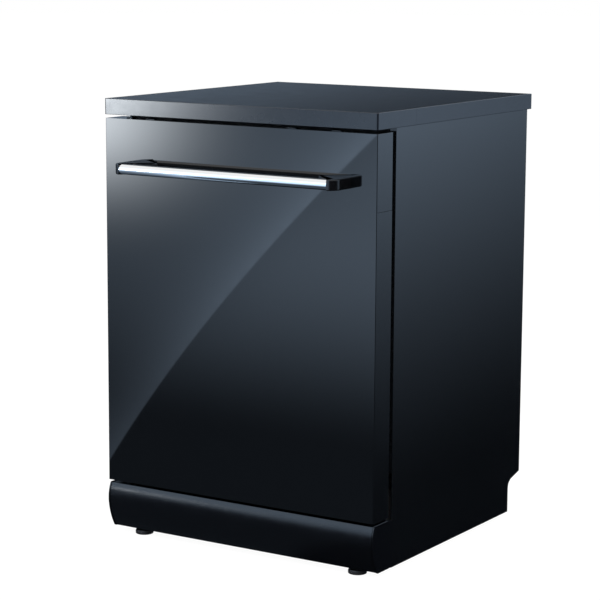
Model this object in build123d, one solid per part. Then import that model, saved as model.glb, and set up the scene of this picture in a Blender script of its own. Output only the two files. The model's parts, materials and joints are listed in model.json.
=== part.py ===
"""A free-standing 60 cm dishwasher with a drop-down door and two pull-out racks, in millimetres.

X runs left to right seen from the front, -Y is the front, Z is up and the floor is Z = 0.
The origin lies midway between the handle's front and the worktop's back edge.
"""
from build123d import *
import os
from math import cos, pi, sin, tan

# Worktop and cabinet
WIDTH = 600.0
WORKTOP_DEPTH = 600.0
HEIGHT = 850.0
WORKTOP_THICK = 30.0
TRIM = 2.0  # plastic edging round the worktop
EDGE_ROUND = 4.0  # worktop's front corners seen from above
FRONT_TRIM_RETURN = 136.0  # how far the front edging wraps along the sides
BODY_INSET = 1.4  # worktop's side beyond the cabinet's side
DOOR_SETBACK = 1.6  # worktop's front ahead of the door's face
BACK_OVERHANG = 14.6  # worktop's back behind the cabinet's back
SHEET = 1.0  # sheet steel of panels, tub and inner door
PANEL_FOOT = 12.0  # side panel's lower edge above the floor
SIDE_RETURN = 16.0  # folded edge along the top of a side panel

# Hose recess low down at the back
RECESS_DEEP = 48.1
RECESS_HIGH = 87.0
RECESS_SLOPE = 9.6
RECESS_ROUND = 15.0
RIB_HALF = 200.0
RIB_LOW = 250.0  # lowest rib of the rear panel above the floor
RIB_DROP = 140.0  # worktop's underside down to the highest rib
RIB_PITCH = 140.0

# Door
DOOR_TOP_GAP = 7.0
DOOR_BOTTOM = 109.0
DOOR_DEPTH = 54.0
DOOR_GAP = 12.0  # between the door's sides and the cabinet
FRONT_THICK = 1.6
SKIRT = 2.5  # the door's side walls
SEAM_DROP = 139.0  # console's lower edge below the door's top
LINER_DEPTH = 50.0  # inner door sheet behind the door's face
PAN_RISE = 6.8  # raised middle of the inner door sheet
HINGE_IN = 18.0  # hinge axis behind the door's face
HINGE_UP = 28.0  # hinge axis above the door's lower edge

# Handle
BAR_R = 10.0
BAR_WALL = 1.5
BAR_LENGTH = 454.0
HANDLE_STANDOFF = 45.0  # door's face to the bar's centre line
HANDLE_DROP = 89.0  # door's top down to the bar's centre line
BRACKET_FOOT_IN = 178.0
BRACKET_FOOT_OUT = 245.0

# Tub
TUB_SIDE_GAP = 28.6  # cabinet's outer side to the tub's wall
TUB_TOP_GAP = 45.0  # worktop's underside down to the tub's ceiling
TUB_BACK_GAP = 20.9  # cabinet's back to the tub's wall
TUB_FLOOR = 178.0
TUB_ROUND = 25.0
TUB_BACK_ROUND = 8.0
GASKET_W = 10.0
GASKET_SIDE = 1.3  # between the gasket and each side of its channel
CHANNEL_DEEP = 8.0  # gasket channel's depth behind the cabinet's front edge
SILL_STEP = 7.0  # tub's sill ahead of the cabinet's front edge
FUNNEL_HALF = 150.0
FUNNEL_DEEP = 26.0
SUMP_HALF = 98.0
SUMP_LOW = 62.0
SUMP_WALL = 3.0
SUMP_ROUND = 30.0

# Base
TRAY_SIDE_GAP = 12.2  # side panel to the tray's wall
TRAY_WALL = 3.0
TRAY_BOTTOM = 20.0
PLINTH_TOP = 102.0
PLINTH_BOTTOM = 14.0
PLINTH_WALL = 3.0
PLINTH_SWEEP = 17.7  # how far the plinth's foot lies behind its top
FOOT_IN = 55.6  # cabinet's outer side to a foot's middle
FOOT_R = 17.5
SCREW_R = 5.0
FOOT_CLEAR = 0.1

# Racks
WIRE_R = 2.3
RACK_FRONT_GAP = 19.0  # rack's front behind the cabinet's front edge
RACK_BACK_GAP = 32.9  # rack's back ahead of the tub's wall
LOWER_SIDE_GAP = 30.0
LOWER_LIFT = 30.0  # tub's floor up to the lower rack's floor
LOWER_HIGH = 132.0
UPPER_SIDE_GAP = 22.0
UPPER_DROP = 268.0  # tub's ceiling down to the upper rack's floor
UPPER_HIGH = 103.0
WIRE_PITCH = 50.0
WHEEL_R = 18.0
WHEEL_WIDE = 11.0
WHEEL_BACK = 72.0  # front wheel's axle behind the cabinet's front edge
WHEEL_SPAN = 300.0
RAIL_HIGH = 24.0
RAIL_LIFT = 45.0  # upper rack's floor up to the rails' middle
ROLLER_WIDE = 10.0
ROLLER_SPAN = 77.0
TINE_R = 1.9
TINE_HIGH = 92.0

# Spray arms
ARM_WALL_GAP = 23.45  # between the lower arm's tip and the tub's wall
UPPER_ARM_SHORTER = 25.0
LOWER_ARM_LIFT = 12.0  # tub's floor up to the lower arm
UPPER_ARM_DROP = 30.0  # upper rack's floor down to the upper arm
ARM_THICK = 10.0
ARM_FLOAT = 2.0  # arm's underside above what carries it
POST_R = 8.0

# Clearances
TOUCH = 0.3  # between surfaces that slide or press on soft material
PIN_CLEAR = 0.06

# Places worked out from the sizes above
Y_BACK = (WORKTOP_DEPTH - DOOR_SETBACK + HANDLE_STANDOFF + BAR_R) / 2
Y_FRONT = Y_BACK - WORKTOP_DEPTH
Y_DOOR = Y_FRONT + DOOR_SETBACK
BODY_X = WIDTH / 2 - BODY_INSET
INNER_X = BODY_X - SHEET
Z_TOP = HEIGHT - WORKTOP_THICK
DOOR_TOP = Z_TOP - DOOR_TOP_GAP
SEAM = DOOR_TOP - SEAM_DROP
Y_BODY = Y_DOOR + DOOR_DEPTH + DOOR_GAP
Y_REAR = Y_BACK - BACK_OVERHANG
TUB_BACK = Y_REAR - TUB_BACK_GAP
TUB_HALF = BODY_X - TUB_SIDE_GAP
TUB_CEILING = Z_TOP - TUB_TOP_GAP
TRAY_HALF = INNER_X - TRAY_SIDE_GAP
HINGE_Y = Y_DOOR + HINGE_IN
HINGE_Z = DOOR_BOTTOM + HINGE_UP
ARM_Y = (Y_BODY + TUB_BACK) / 2
RACK_FRONT = Y_BODY + RACK_FRONT_GAP
RACK_BACK = TUB_BACK - RACK_BACK_GAP
LOWER_HALF = TUB_HALF - LOWER_SIDE_GAP
LOWER_FLOOR = TUB_FLOOR + LOWER_LIFT
LOWER_RIM = LOWER_FLOOR + LOWER_HIGH
UPPER_HALF = TUB_HALF - UPPER_SIDE_GAP
UPPER_FLOOR = TUB_CEILING - UPPER_DROP
UPPER_RIM = UPPER_FLOOR + UPPER_HIGH
RAIL_Z = UPPER_FLOOR + RAIL_LIFT
LOWER_ARM_R = (TUB_BACK - Y_BODY) / 2 - ARM_WALL_GAP
UPPER_ARM_R = LOWER_ARM_R - UPPER_ARM_SHORTER
WHEEL_Y = (Y_BODY + WHEEL_BACK, Y_BODY + WHEEL_BACK + WHEEL_SPAN)
WHEEL_Z = TUB_FLOOR + TOUCH + WHEEL_R
FLAT = WIRE_R * cos(pi / 6)  # half the thickness of a six-sided wire across its flats
PAN_FACE = LINER_DEPTH + SHEET + PAN_RISE


def behind(depth):
    """Y of a plane that lies this far behind the door's face."""
    return Y_DOOR + depth


def slab(x, y, z):
    """A block from its low and high value on each axis."""
    spans = (x, y, z)
    size = [high - low for low, high in spans]
    middle = [(high + low) / 2 for low, high in spans]
    return Pos(*middle) * Box(*size)


def rod_x(x, y, z, radius):
    """A round bar along X."""
    return Pos((x[0] + x[1]) / 2, y, z) * Rot(0, 90, 0) * Cylinder(radius, x[1] - x[0])


def rod_y(x, y, z, radius):
    """A round bar along Y."""
    return Pos(x, (y[0] + y[1]) / 2, z) * Rot(90, 0, 0) * Cylinder(radius, y[1] - y[0])


def rod_z(x, y, z, radius):
    """A round bar along Z."""
    return Pos(x, y, (z[0] + z[1]) / 2) * Cylinder(radius, z[1] - z[0])


def prism_x(outline, x):
    """An outline of (y, z) points pushed along X."""
    face = make_face(Polyline(*[(x[0], y, z) for y, z in outline], close=True))
    return extrude(face, amount=x[1] - x[0], dir=(1, 0, 0))


def prism_y(outline, y):
    """An outline of (x, z) points pushed along Y."""
    face = make_face(Polyline(*[(x, y[0], z) for x, z in outline], close=True))
    return extrude(face, amount=y[1] - y[0], dir=(0, 1, 0))


def prism_z(outline, z):
    """An outline of (x, y) points pushed along Z."""
    face = make_face(Polyline(*[(x, y, z[0]) for x, y in outline], close=True))
    return extrude(face, amount=z[1] - z[0], dir=(0, 0, 1))


def mirrored(solid):
    """The same solid on the other side of the middle."""
    return mirror(solid, about=Plane.YZ)


def pair(solid):
    """A right-hand solid and its left-hand twin, kept apart in one group."""
    return [solid, mirrored(solid)]


def both(solid):
    """A right-hand feature and its left-hand twin as one shape."""
    return solid + mirrored(solid)


def wire(points, side, radius=WIRE_R):
    """A six-sided wire bent through the points, with two corners pointing along side."""
    start = Vector(*points[0])
    way = Vector(*points[1]) - start
    section = Plane(origin=start, x_dir=side, z_dir=way) * RegularPolygon(radius, 6)
    return sweep(section, path=Polyline(*points), transition=Transition.RIGHT)


def ring(half, front, back, z, thick, corner):
    """A flat wire frame round a rack, with cut corners."""

    def block(grow, cut):
        x = half + grow
        y0 = front - grow
        y1 = back + grow
        outline = [(-x + cut, y0), (x - cut, y0), (x, y0 + cut), (x, y1 - cut)]
        outline += [(x - cut, y1), (-x + cut, y1), (-x, y1 - cut), (-x, y0 + cut)]
        return prism_z(outline, (z - thick / 2, z + thick / 2))

    return block(thick / 2, corner) - block(-thick / 2, corner - thick * 0.4)


def steps(low, high, pitch):
    """Evenly spaced values from low to high, about one pitch apart."""
    count = max(2, round((high - low) / pitch) + 1)
    return [low + (high - low) * i / (count - 1) for i in range(count)]


# Places and small sizes used by several pieces
BARS_FRONT = Y_BODY + CHANNEL_DEEP
BARS_REAR = TUB_BACK - 60.0
BAR_DEEP = 34.0
WIRE_LIFT = 2 * FLAT - 0.6  # wires that cross are welded 0.6 into each other
HANDLE_Z = DOOR_TOP - HANDLE_DROP
STRIKE_Z = TUB_CEILING + 20.0
STRIKE_HALF = 10.0
SILL_LOW = HINGE_Z + 9.0
SEAL_LOW = HINGE_Z + 24.0  # above the circle that the door's lower edges swing through
LINER_LOW = DOOR_BOTTOM + 9.0
LINER_NOTCH = TRAY_HALF - 0.6
PAN_HALF = TUB_HALF - 8.0
PAN_LOW = SILL_LOW + 1.0
PAN_HIGH = TUB_CEILING - 9.0
DISP_HALF = 97.0
DISP_LOW = 358.0
DISP_HIGH = 472.0
DISP_FLANGE = 2.0
DISPENSER_FIT = 0.3
CUP_BOX_X = (-86.0, -16.0)
LID_AXIS_X = -94.0
LID_AXIS_Y = behind(PAN_FACE) + DISP_FLANGE + TOUCH + 3.2
RINSE_X = 52.0
RINSE_Z = (DISP_LOW + DISP_HIGH) / 2
RINSE_R = 20.0
DISPLAY_X = (-150.0, -60.0)
BUTTON_Y = behind(20.0)
BUTTON_X = {"power": -205.0, "program": 110.0, "start": 205.0}
BUTTON_PROUD = 1.5
BUTTON_CLEAR = 0.3
BUTTON_TRAVEL = 1.2
BUTTON_FOOT = DOOR_TOP - SKIRT - 2.4
BOARD_Z = DOOR_TOP - SKIRT - 9.5
HINGE_PLATE = 2.5
HINGE_HUB = 10.0
HINGE_PIN_R = 4.0
PIN_END = INNER_X - 2.0
LEVER_Z = HINGE_Z + 35.0
SPRING_ANCHOR_Y = Y_BODY + 150.0
PUMP_Z = 84.0
PUMP_X0 = SUMP_HALF + 14.0
DRAIN_X = -40.0
DRAIN_Y0 = SUMP_HALF + 14.0
POST_BASE_R = 14.0
PIPE_R = 9.0
CUP_R = 38.0
CUP_WALL = 3.0
CUP_PANELS = 8
CUP_X = 44.0
CUP_Y = ARM_Y - 42.0
SALT_X = 74.0 - TUB_HALF
SALT_Y = ARM_Y - 60.0
SALT_R = 30.0
LOWER_ARM_Z = TUB_FLOOR + LOWER_ARM_LIFT
UPPER_ARM_Z = UPPER_FLOOR - UPPER_ARM_DROP
NOZZLE_Z = UPPER_FLOOR - FLAT - 6.0
DOCK_GAP = 0.3
TONGUE_Y = behind(22.0)
FOOT_X = BODY_X - FOOT_IN
FOOT_Y = (behind(40.0), Y_REAR - 78.0)
FOOT_BOSS_R = 14.0
SPIGOT_X = FOOT_X - 55.0
HOSE_Z = 43.0
INLET_THREAD_R = 13.2
DRAIN_R = 10.5
SPIGOT_OUT = 22.0
NECK_CLEAR = 0.5
PIN_R = 3.0
ROLLER_R = RAIL_HIGH / 2 - 1.5 - TOUCH
ROLLER_X = UPPER_HALF + FLAT + 4.5
ROLLER_Y = (Y_BODY + 34.0, Y_BODY + 34.0 + ROLLER_SPAN)
AXLE_R = 4.0
WHEEL_OUT = LOWER_HALF + FLAT + 5.0 + WHEEL_WIDE
TINE_X = (-165.0, -90.0)
FOLD_Y = RACK_FRONT + 290.0
FOLD_Z = LOWER_FLOOR + 13.0
FOLD_R = 2.6
BASKET_X = (LOWER_HALF - 94.0, LOWER_HALF - 18.0)
BASKET_Y = (RACK_FRONT + 40.0, RACK_FRONT + 260.0)
LOWER_WIRES = steps(15 - LOWER_HALF, LOWER_HALF - 15, WIRE_PITCH)
FREE_WIRES = [x for x in LOWER_WIRES if TINE_X[1] < x < BASKET_X[0] - 10]
FOLD_WIRES = (FREE_WIRES[0], FREE_WIRES[-1])
FOLD_X = (FOLD_WIRES[0] - 8, FOLD_WIRES[1] + 8)
SHELF_X = UPPER_HALF - 14.0
SHELF_Z = UPPER_RIM + 34.0
SHELF_PIN_R = 2.2


# Cabinet


def back_outline(inset):
    """The cabinet's back from the top down into the hose recess, moved in by inset."""
    wall = Y_REAR - RECESS_DEEP
    return [
        (Y_REAR - inset, RECESS_HIGH - inset * 0.1),
        (wall + RECESS_ROUND * 0.75 - inset * 0.2, RECESS_HIGH - RECESS_SLOPE + inset),
        (wall + RECESS_ROUND * 0.2 - inset * 0.7, RECESS_HIGH - RECESS_ROUND - 1 + inset * 0.7),
        (wall - inset, RECESS_HIGH - RECESS_ROUND - 10 + inset * 0.2),
    ]


def side_panel():
    """Right-hand painted side: flat sheet with its folded top, front and back edges."""
    back = back_outline(0)
    outline = [(Y_BODY, PANEL_FOOT), (Y_BODY, Z_TOP), (Y_REAR, Z_TOP)] + back
    outline += [(back[-1][0], PANEL_FOOT)]
    panel = prism_x(outline, (INNER_X, BODY_X))
    hinge_window = HINGE_Z + 53
    top = slab((BODY_X - SIDE_RETURN, INNER_X), (Y_BODY, Y_REAR), (Z_TOP - SHEET, Z_TOP))
    front = slab((TRAY_HALF + 0.1, INNER_X), (Y_BODY, Y_BODY + SHEET), (hinge_window, Z_TOP - SHEET))
    rear_y = (Y_REAR - 2 * SHEET, Y_REAR - SHEET)
    rear = slab((BODY_X - SIDE_RETURN, INNER_X), rear_y, (RECESS_HIGH + 20, Z_TOP - SHEET))
    return panel + [top, front, rear]


def hose_holes(y):
    """Holes that the necks of both hose spigots pass through."""
    inlet = rod_y(-SPIGOT_X, y, HOSE_Z, INLET_THREAD_R - 2 + NECK_CLEAR)
    return [inlet, rod_y(SPIGOT_X, y, HOSE_Z, DRAIN_R - 2 + NECK_CLEAR)]


def rear_panel():
    """Back in four seamed sheets: the ribbed one, and the hose recess's soffit, bend and wall."""
    outer = [(Y_REAR, Z_TOP - SHEET)] + back_outline(0)
    wall = outer[-1][0]
    outer += [(wall, TRAY_BOTTOM)]
    inner = [(Y_REAR - SHEET, Z_TOP - SHEET)] + back_outline(SHEET) + [(wall - SHEET, TRAY_BOTTOM)]
    half = INNER_X - 0.1
    sheet = prism_x(outer + inner[::-1], (-half, half))
    ribs = []
    for z in steps(RIB_LOW, Z_TOP - RIB_DROP, RIB_PITCH):
        ribs.append(slab((-RIB_HALF, RIB_HALF), (Y_REAR - SHEET, Y_REAR + 2), (z - 12, z + 12)))
    whole = sheet + ribs - hose_holes((wall - 5, wall + 5))
    wide = (-WIDTH, WIDTH)
    below = slab(wide, (0, Y_BACK), (0, RECESS_HIGH))
    soffit = slab(wide, (wall + RECESS_ROUND * 0.75, Y_BACK), (0, RECESS_HIGH))
    bend = slab(wide, (0, Y_BACK), (RECESS_HIGH - RECESS_ROUND - 10, RECESS_HIGH)) - soffit
    return [whole - below, whole & soffit, whole & bend, (whole & below) - soffit - bend]


def worktop_board():
    """Laminated board inside its plastic edging."""
    half = WIDTH / 2 - TRIM
    return slab((-half, half), (Y_FRONT + TRIM, Y_BACK), (Z_TOP, HEIGHT))


def worktop_edging():
    """Plastic edging: a front piece that wraps both corners and a strip along each side."""
    half = WIDTH / 2
    reach = Y_FRONT + FRONT_TRIM_RETURN
    front = trim_block(half, (Y_FRONT, reach), EDGE_ROUND)
    sides = trim_block(half, (reach + TOUCH, Y_BACK), 0)
    core = slab((TRIM - half, half - TRIM), (Y_FRONT + TRIM, Y_BACK + 1), (Z_TOP - 1, HEIGHT + 1))
    return [front - core, sides - core]


def trim_block(half, y, corner):
    """The worktop's outer form over a stretch of its depth, with its top edge bevelled."""
    block = slab((-half, half), y, (Z_TOP, HEIGHT))
    if corner:
        block = fillet(block.edges().filter_by(Axis.Z).group_by(Axis.Y)[0], corner)
    rim = []
    for edge in block.faces().sort_by(Axis.Z)[-1].edges():
        if edge.center().Y < y[1] - 0.01 and (corner or abs(edge.center().X) > 1):
            rim.append(edge)
    return chamfer(rim, TRIM * 0.4)


def top_crossbars():
    """Steel channels over the tub that tie the sides together and carry the worktop."""
    low = TUB_CEILING + SHEET
    half = BODY_X - SIDE_RETURN
    bars = []
    for start in (BARS_FRONT, BARS_REAR):
        stop = start + BAR_DEEP
        outer = slab((-INNER_X, INNER_X), (start, stop), (low, Z_TOP - SHEET))
        hollow_z = (low + SHEET, Z_TOP - 2 * SHEET)
        hollow = slab((-INNER_X - 1, INNER_X + 1), (start + SHEET, stop + 1), hollow_z)
        pad = slab((-half, half), (start, stop), (Z_TOP - SHEET, Z_TOP))
        bars.append(outer - hollow + pad)
    return bars + [latch_strike()]


def latch_strike():
    """Hooked tongue on the front crossbar that the door's latch grips."""
    y = (Y_BODY - 28, BARS_FRONT)
    tongue = slab((-STRIKE_HALF, STRIKE_HALF), y, (STRIKE_Z - 2, STRIKE_Z + 2))
    eye = slab((-STRIKE_HALF / 2, STRIKE_HALF / 2), (y[0] + 5, y[0] + 13), (STRIKE_Z - 3, STRIKE_Z + 3))
    plate = slab((-26, 26), (BARS_FRONT - 2, BARS_FRONT), (STRIKE_Z - 5, STRIKE_Z + 16))
    return tongue + plate - eye


# Tub and what is fixed to it


def tub_outline(grow):
    """Front view of the tub's inside, grown by a wall's thickness."""
    x = TUB_HALF + grow
    low = TUB_FLOOR - grow
    high = TUB_CEILING + grow
    sketch = Polyline((-x, low), (x, low), (x, high), (-x, high), close=True)
    face = make_face(sketch)
    return fillet(face.vertices().group_by(Axis.Y)[-1], TUB_ROUND + grow)


def tub_block(grow, front, back):
    """The tub's inside as a solid, with a rounded ceiling and back edges."""
    face = Plane(origin=(0, front, 0), x_dir=(1, 0, 0), z_dir=(0, -1, 0)) * tub_outline(grow)
    block = extrude(face, amount=back - front, dir=(0, 1, 0))
    edges = block.faces().sort_by(Axis.Y)[-1].edges()
    return fillet(edges, TUB_BACK_ROUND + grow)


def funnel(grow, lift):
    """The sloping middle of the tub's floor, down to the sump."""
    top_half = FUNNEL_HALF + grow
    low_half = SUMP_HALF + grow
    high = Pos(0, ARM_Y, TUB_FLOOR + lift) * Rectangle(2 * top_half, 2 * top_half + 40)
    low = Pos(0, ARM_Y, TUB_FLOOR - FUNNEL_DEEP - grow) * Rectangle(2 * low_half, 2 * low_half)
    return loft([low, high])


def tub():
    """Stainless tub in seamed sheets: sides with ceiling, back wall, floor's funnel and its sides."""
    whole = tub_shell()
    wide = (-WIDTH, WIDTH)
    back_zone = slab(wide, (TUB_BACK - TUB_BACK_ROUND - SHEET, Y_REAR), (0, HEIGHT))
    floor_zone = slab(wide, (Y_FRONT, Y_BACK), (0, TUB_FLOOR))
    front = whole - back_zone
    pan = front & floor_zone
    seam = FUNNEL_HALF + 5
    middle = slab((-seam, seam), (Y_FRONT, Y_BACK), (0, TUB_FLOOR))
    return [front - floor_zone, whole & back_zone, pan & middle, pan - middle]


def tub_shell():
    """The whole tub: open front with gasket channel and sill, sloping floor, sump hole."""
    shell = tub_block(SHEET, Y_BODY, TUB_BACK + SHEET)
    x_in = TUB_HALF + SHEET
    x_out = x_in + GASKET_W + 2 * GASKET_SIDE
    z_out = TUB_CEILING + SHEET + GASKET_W + 2 * GASKET_SIDE
    depth = CHANNEL_DEEP
    frame = slab((-x_out, x_out), (Y_BODY, Y_BODY + depth), (SILL_LOW, z_out))
    groove_x = x_out - SHEET
    groove = slab((-groove_x, groove_x), (Y_BODY - 1, Y_BODY + depth - SHEET), (0, z_out - SHEET))
    lip = tub_block(SHEET, Y_BODY - 1, Y_BODY + depth + 30)
    shell += frame - groove - lip
    sill_y = Y_BODY - SILL_STEP
    shell += slab((-TUB_HALF - SHEET, TUB_HALF + SHEET), (sill_y, Y_BODY + depth), (SILL_LOW, TUB_FLOOR))
    shell += funnel(SHEET, -SHEET)
    shell -= tub_block(0, Y_BODY - 30, TUB_BACK)
    under = slab((-WIDTH, WIDTH), (sill_y + SHEET, Y_BODY + 60), (0, TUB_FLOOR - SHEET))
    shell -= under - frame_keep(x_out, depth)
    shell -= funnel(0, 0.01)
    shell -= slab((-SUMP_HALF, SUMP_HALF), (ARM_Y - SUMP_HALF, ARM_Y + SUMP_HALF), (100, TUB_FLOOR))
    neck = rod_z(SALT_X, SALT_Y, (100, TUB_FLOOR + 1), SALT_R)
    return shell - neck


def frame_keep(x_out, depth):
    """The two lower ends of the gasket channel, kept when the sill is hollowed."""
    keep = slab((TUB_HALF, x_out), (Y_BODY, Y_BODY + depth), (SILL_LOW, TUB_FLOOR))
    return both(keep)


def door_seal():
    """Rubber gasket in the tub's channel, up both sides and across the top."""
    x0 = TUB_HALF + SHEET + GASKET_SIDE
    x1 = x0 + GASKET_W
    z1 = TUB_CEILING + SHEET + GASKET_SIDE + GASKET_W
    y = (behind(LINER_DEPTH + SHEET) + TOUCH, Y_BODY + CHANNEL_DEEP - SHEET)
    outer = slab((-x1, x1), y, (SEAL_LOW, z1))
    inner = slab((-x0, x0), (y[0] - 1, y[1] + 1), (0, z1 - GASKET_W))
    return outer - inner


def sump():
    """Bowl under the tub's floor, and the sleeves that lead from it to both pumps."""
    half = SUMP_HALF - 4
    top = TUB_FLOOR - FUNNEL_DEEP - SHEET
    bowl = slab((-half, half), (ARM_Y - half, ARM_Y + half), (SUMP_LOW, top))
    bowl = fillet(bowl.edges().filter_by(Axis.Z), SUMP_ROUND)
    wall = SUMP_WALL
    inside = half - wall
    cavity = slab((-inside, inside), (ARM_Y - inside, ARM_Y + inside), (SUMP_LOW + wall, top + 1))
    cavity = fillet(cavity.edges().filter_by(Axis.Z), SUMP_ROUND - wall)
    rim = SUMP_HALF + SHEET + 6
    flange = slab((-rim, rim), (ARM_Y - rim, ARM_Y + rim), (top - 4, top))
    flange -= slab((-half + 1, half - 1), (ARM_Y - half + 1, ARM_Y + half - 1), (top - 10, top + 1))
    port = rod_x((half, PUMP_X0), ARM_Y, PUMP_Z, 14.0)
    port -= rod_x((half - 1, PUMP_X0 + 1), ARM_Y, PUMP_Z, 11.0)
    drain = rod_y(DRAIN_X, (ARM_Y - DRAIN_Y0, ARM_Y - half), PUMP_Z, 12.0)
    drain -= rod_y(DRAIN_X, (ARM_Y - DRAIN_Y0 - 1, ARM_Y + 1 - half), PUMP_Z, 9.0)
    bowl = bowl + flange - cavity
    bowl -= rod_x((half - 6, half + 1), ARM_Y, PUMP_Z, 11.0)
    bowl -= rod_y(DRAIN_X, (ARM_Y - half - 1, ARM_Y + 6 - half), PUMP_Z, 9.0)
    return [bowl, port, drain]


def filter_plate():
    """Fine filter sheet over the sump, with holes for the spray post and the filter cup."""
    low = TUB_FLOOR - FUNNEL_DEEP - SHEET
    half = SUMP_HALF - 0.5
    plate = slab((-half, half), (ARM_Y - half, ARM_Y + half), (low, low + 1.5))
    plate -= rod_z(0, ARM_Y, (low - 1, low + 5), POST_BASE_R + 0.5)
    return plate - rod_z(CUP_X, CUP_Y, (low - 1, low + 5), CUP_R + 1.0)


def filter_cup():
    """Twist-out filter: a base, a wall of slotted mesh panels, a collar and a finger bar."""
    low = TUB_FLOOR - FUNNEL_DEEP - SHEET
    seat = low + 1.5 + TOUCH
    floor_top = low - 42
    base = rod_z(CUP_X, CUP_Y, (low - 45, floor_top), CUP_R)
    bore = rod_z(CUP_X, CUP_Y, (floor_top, seat + 10), CUP_R - CUP_WALL)
    wall = rod_z(CUP_X, CUP_Y, (floor_top, seat), CUP_R) - bore
    collar = rod_z(CUP_X, CUP_Y, (seat, seat + 3), CUP_R + 6.0) - bore
    grip_half = CUP_R + 4
    grip_y = (CUP_Y - 3, CUP_Y + 3)
    grip = slab((CUP_X - grip_half, CUP_X + grip_half), grip_y, (seat + 3, seat + 20))
    reach = 2 * CUP_R
    spread = reach * tan(pi / CUP_PANELS)
    wedge = prism_z([(0, 0), (reach, -spread), (reach, spread)], (floor_top - 1, seat + 1))
    slot = Pos(CUP_R, 0, low - 22) * Box(12, 9, 26)
    panels = []
    for i in range(CUP_PANELS):
        turn = Pos(CUP_X, CUP_Y, 0) * Rot(0, 0, 360 / CUP_PANELS * (i + 0.5))
        panels.append((wall & (turn * wedge)) - turn * slot)
    return [base, collar, grip] + panels


def feed_pipe():
    """Spray post in the middle and the pipe that climbs the tub's back wall to the upper rack."""
    low = TUB_FLOOR - FUNNEL_DEEP - SHEET
    base_top = LOWER_ARM_Z - ARM_FLOAT
    post = rod_z(0, ARM_Y, (SUMP_LOW + SUMP_WALL, base_top), POST_BASE_R)
    post += rod_z(0, ARM_Y, (base_top, LOWER_ARM_Z + ARM_THICK + TOUCH), POST_R)
    post += rod_z(0, ARM_Y, (LOWER_ARM_Z + ARM_THICK + TOUCH, LOWER_ARM_Z + ARM_THICK + 3), POST_R + 3)
    duct_z = low + 14
    duct = slab((-10, 10), (ARM_Y, ARM_Y + SUMP_HALF - 12), (duct_z - 8, duct_z + 6))
    pipe_y = TUB_BACK - TOUCH - PIPE_R
    rise = prism_x(
        [
            (ARM_Y + SUMP_HALF - 14, duct_z - 8),
            (ARM_Y + SUMP_HALF - 14, duct_z + 6),
            (ARM_Y + FUNNEL_HALF + 12, LOWER_ARM_Z - 3),
            (pipe_y, LOWER_ARM_Z - 3),
            (pipe_y, TUB_FLOOR + TOUCH),
            (ARM_Y + FUNNEL_HALF + 20, TUB_FLOOR + TOUCH),
        ],
        (-10, 10),
    )
    start = LOWER_ARM_Z - 5
    section = Pos(0, pipe_y, start) * RegularPolygon(PIPE_R / cos(pi / 8), 8, rotation=22.5)
    climb = extrude(section, amount=NOZZLE_Z + PIPE_R - start, dir=(0, 0, 1))
    nozzle = slab((-12, 12), (RACK_BACK + DOCK_GAP, pipe_y), (NOZZLE_Z - 9, NOZZLE_Z + 9))
    return post + [duct, rise, climb, nozzle]


def roller_brackets():
    """Plates on the tub's walls with the pins of the upper rack's rollers."""
    parts = []
    for y in ROLLER_Y:
        plate = slab((TUB_HALF - 4, TUB_HALF), (y - 17, y + 17), (RAIL_Z - 16, RAIL_Z + 16))
        plate = chamfer(plate.edges().filter_by(Axis.X), 6.0)
        pin = rod_x((ROLLER_X - TOUCH - 1.4, TUB_HALF - 2), y, RAIL_Z, PIN_R)
        head = rod_x((ROLLER_X - TOUCH - 1.4, ROLLER_X - TOUCH), y, RAIL_Z, PIN_R + 1.5)
        parts += pair(plate + [pin, head])
    return parts


def roller_pair(y):
    """Two plastic rollers on one line, left and right."""
    wheel = rod_x((ROLLER_X, ROLLER_X + ROLLER_WIDE), y, RAIL_Z, ROLLER_R)
    groove = rod_x((ROLLER_X - 1, ROLLER_X + 2.5), y, RAIL_Z, ROLLER_R - 2.5)
    hub = rod_x((ROLLER_X, ROLLER_X + 2.5), y, RAIL_Z, PIN_R + 2)
    bore = rod_x((ROLLER_X - 2, ROLLER_X + ROLLER_WIDE + 2), y, RAIL_Z, PIN_R + PIN_CLEAR)
    return pair(wheel - groove + hub - bore)


# Base


def base_tray():
    """Moulded base: floor, walls that carry the tub, foot bosses and an access window."""
    top = TUB_FLOOR - SHEET
    floor_top = TRAY_BOTTOM + TRAY_WALL
    back = Y_REAR - RECESS_DEEP - SHEET
    front = Y_BODY + CHANNEL_DEEP
    floor = slab((-INNER_X, INNER_X), (Y_BODY + SHEET, back), (TRAY_BOTTOM, floor_top))
    tongue = slab((-TRAY_HALF, TRAY_HALF), (TONGUE_Y, front), (TRAY_BOTTOM, floor_top))
    lip = slab((-TRAY_HALF, TRAY_HALF), (TONGUE_Y, TONGUE_Y + TRAY_WALL), (floor_top, floor_top + 34))
    walls = slab((-TRAY_HALF, TRAY_HALF), (front, back), (floor_top, top))
    hollow_x = TRAY_HALF - TRAY_WALL
    walls -= slab((-hollow_x, hollow_x), (front + TRAY_WALL, back - TRAY_WALL), (0, top - TRAY_WALL))
    rim = 25.0
    walls -= slab((rim - hollow_x, hollow_x - rim), (front + rim, back - rim), (0, top + 1))
    walls -= slab((-200, 200), (front - 1, front + 10), (45, 125))
    tray = floor + [tongue, lip, walls]
    for y in FOOT_Y:
        tray += both(rod_z(FOOT_X, y, (floor_top, floor_top + 30), FOOT_BOSS_R))
    for y in FOOT_Y:
        tray -= both(rod_z(FOOT_X, y, (0, 90), SCREW_R + FOOT_CLEAR))
    return tray - hose_holes((back - 10, back + 10))


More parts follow.
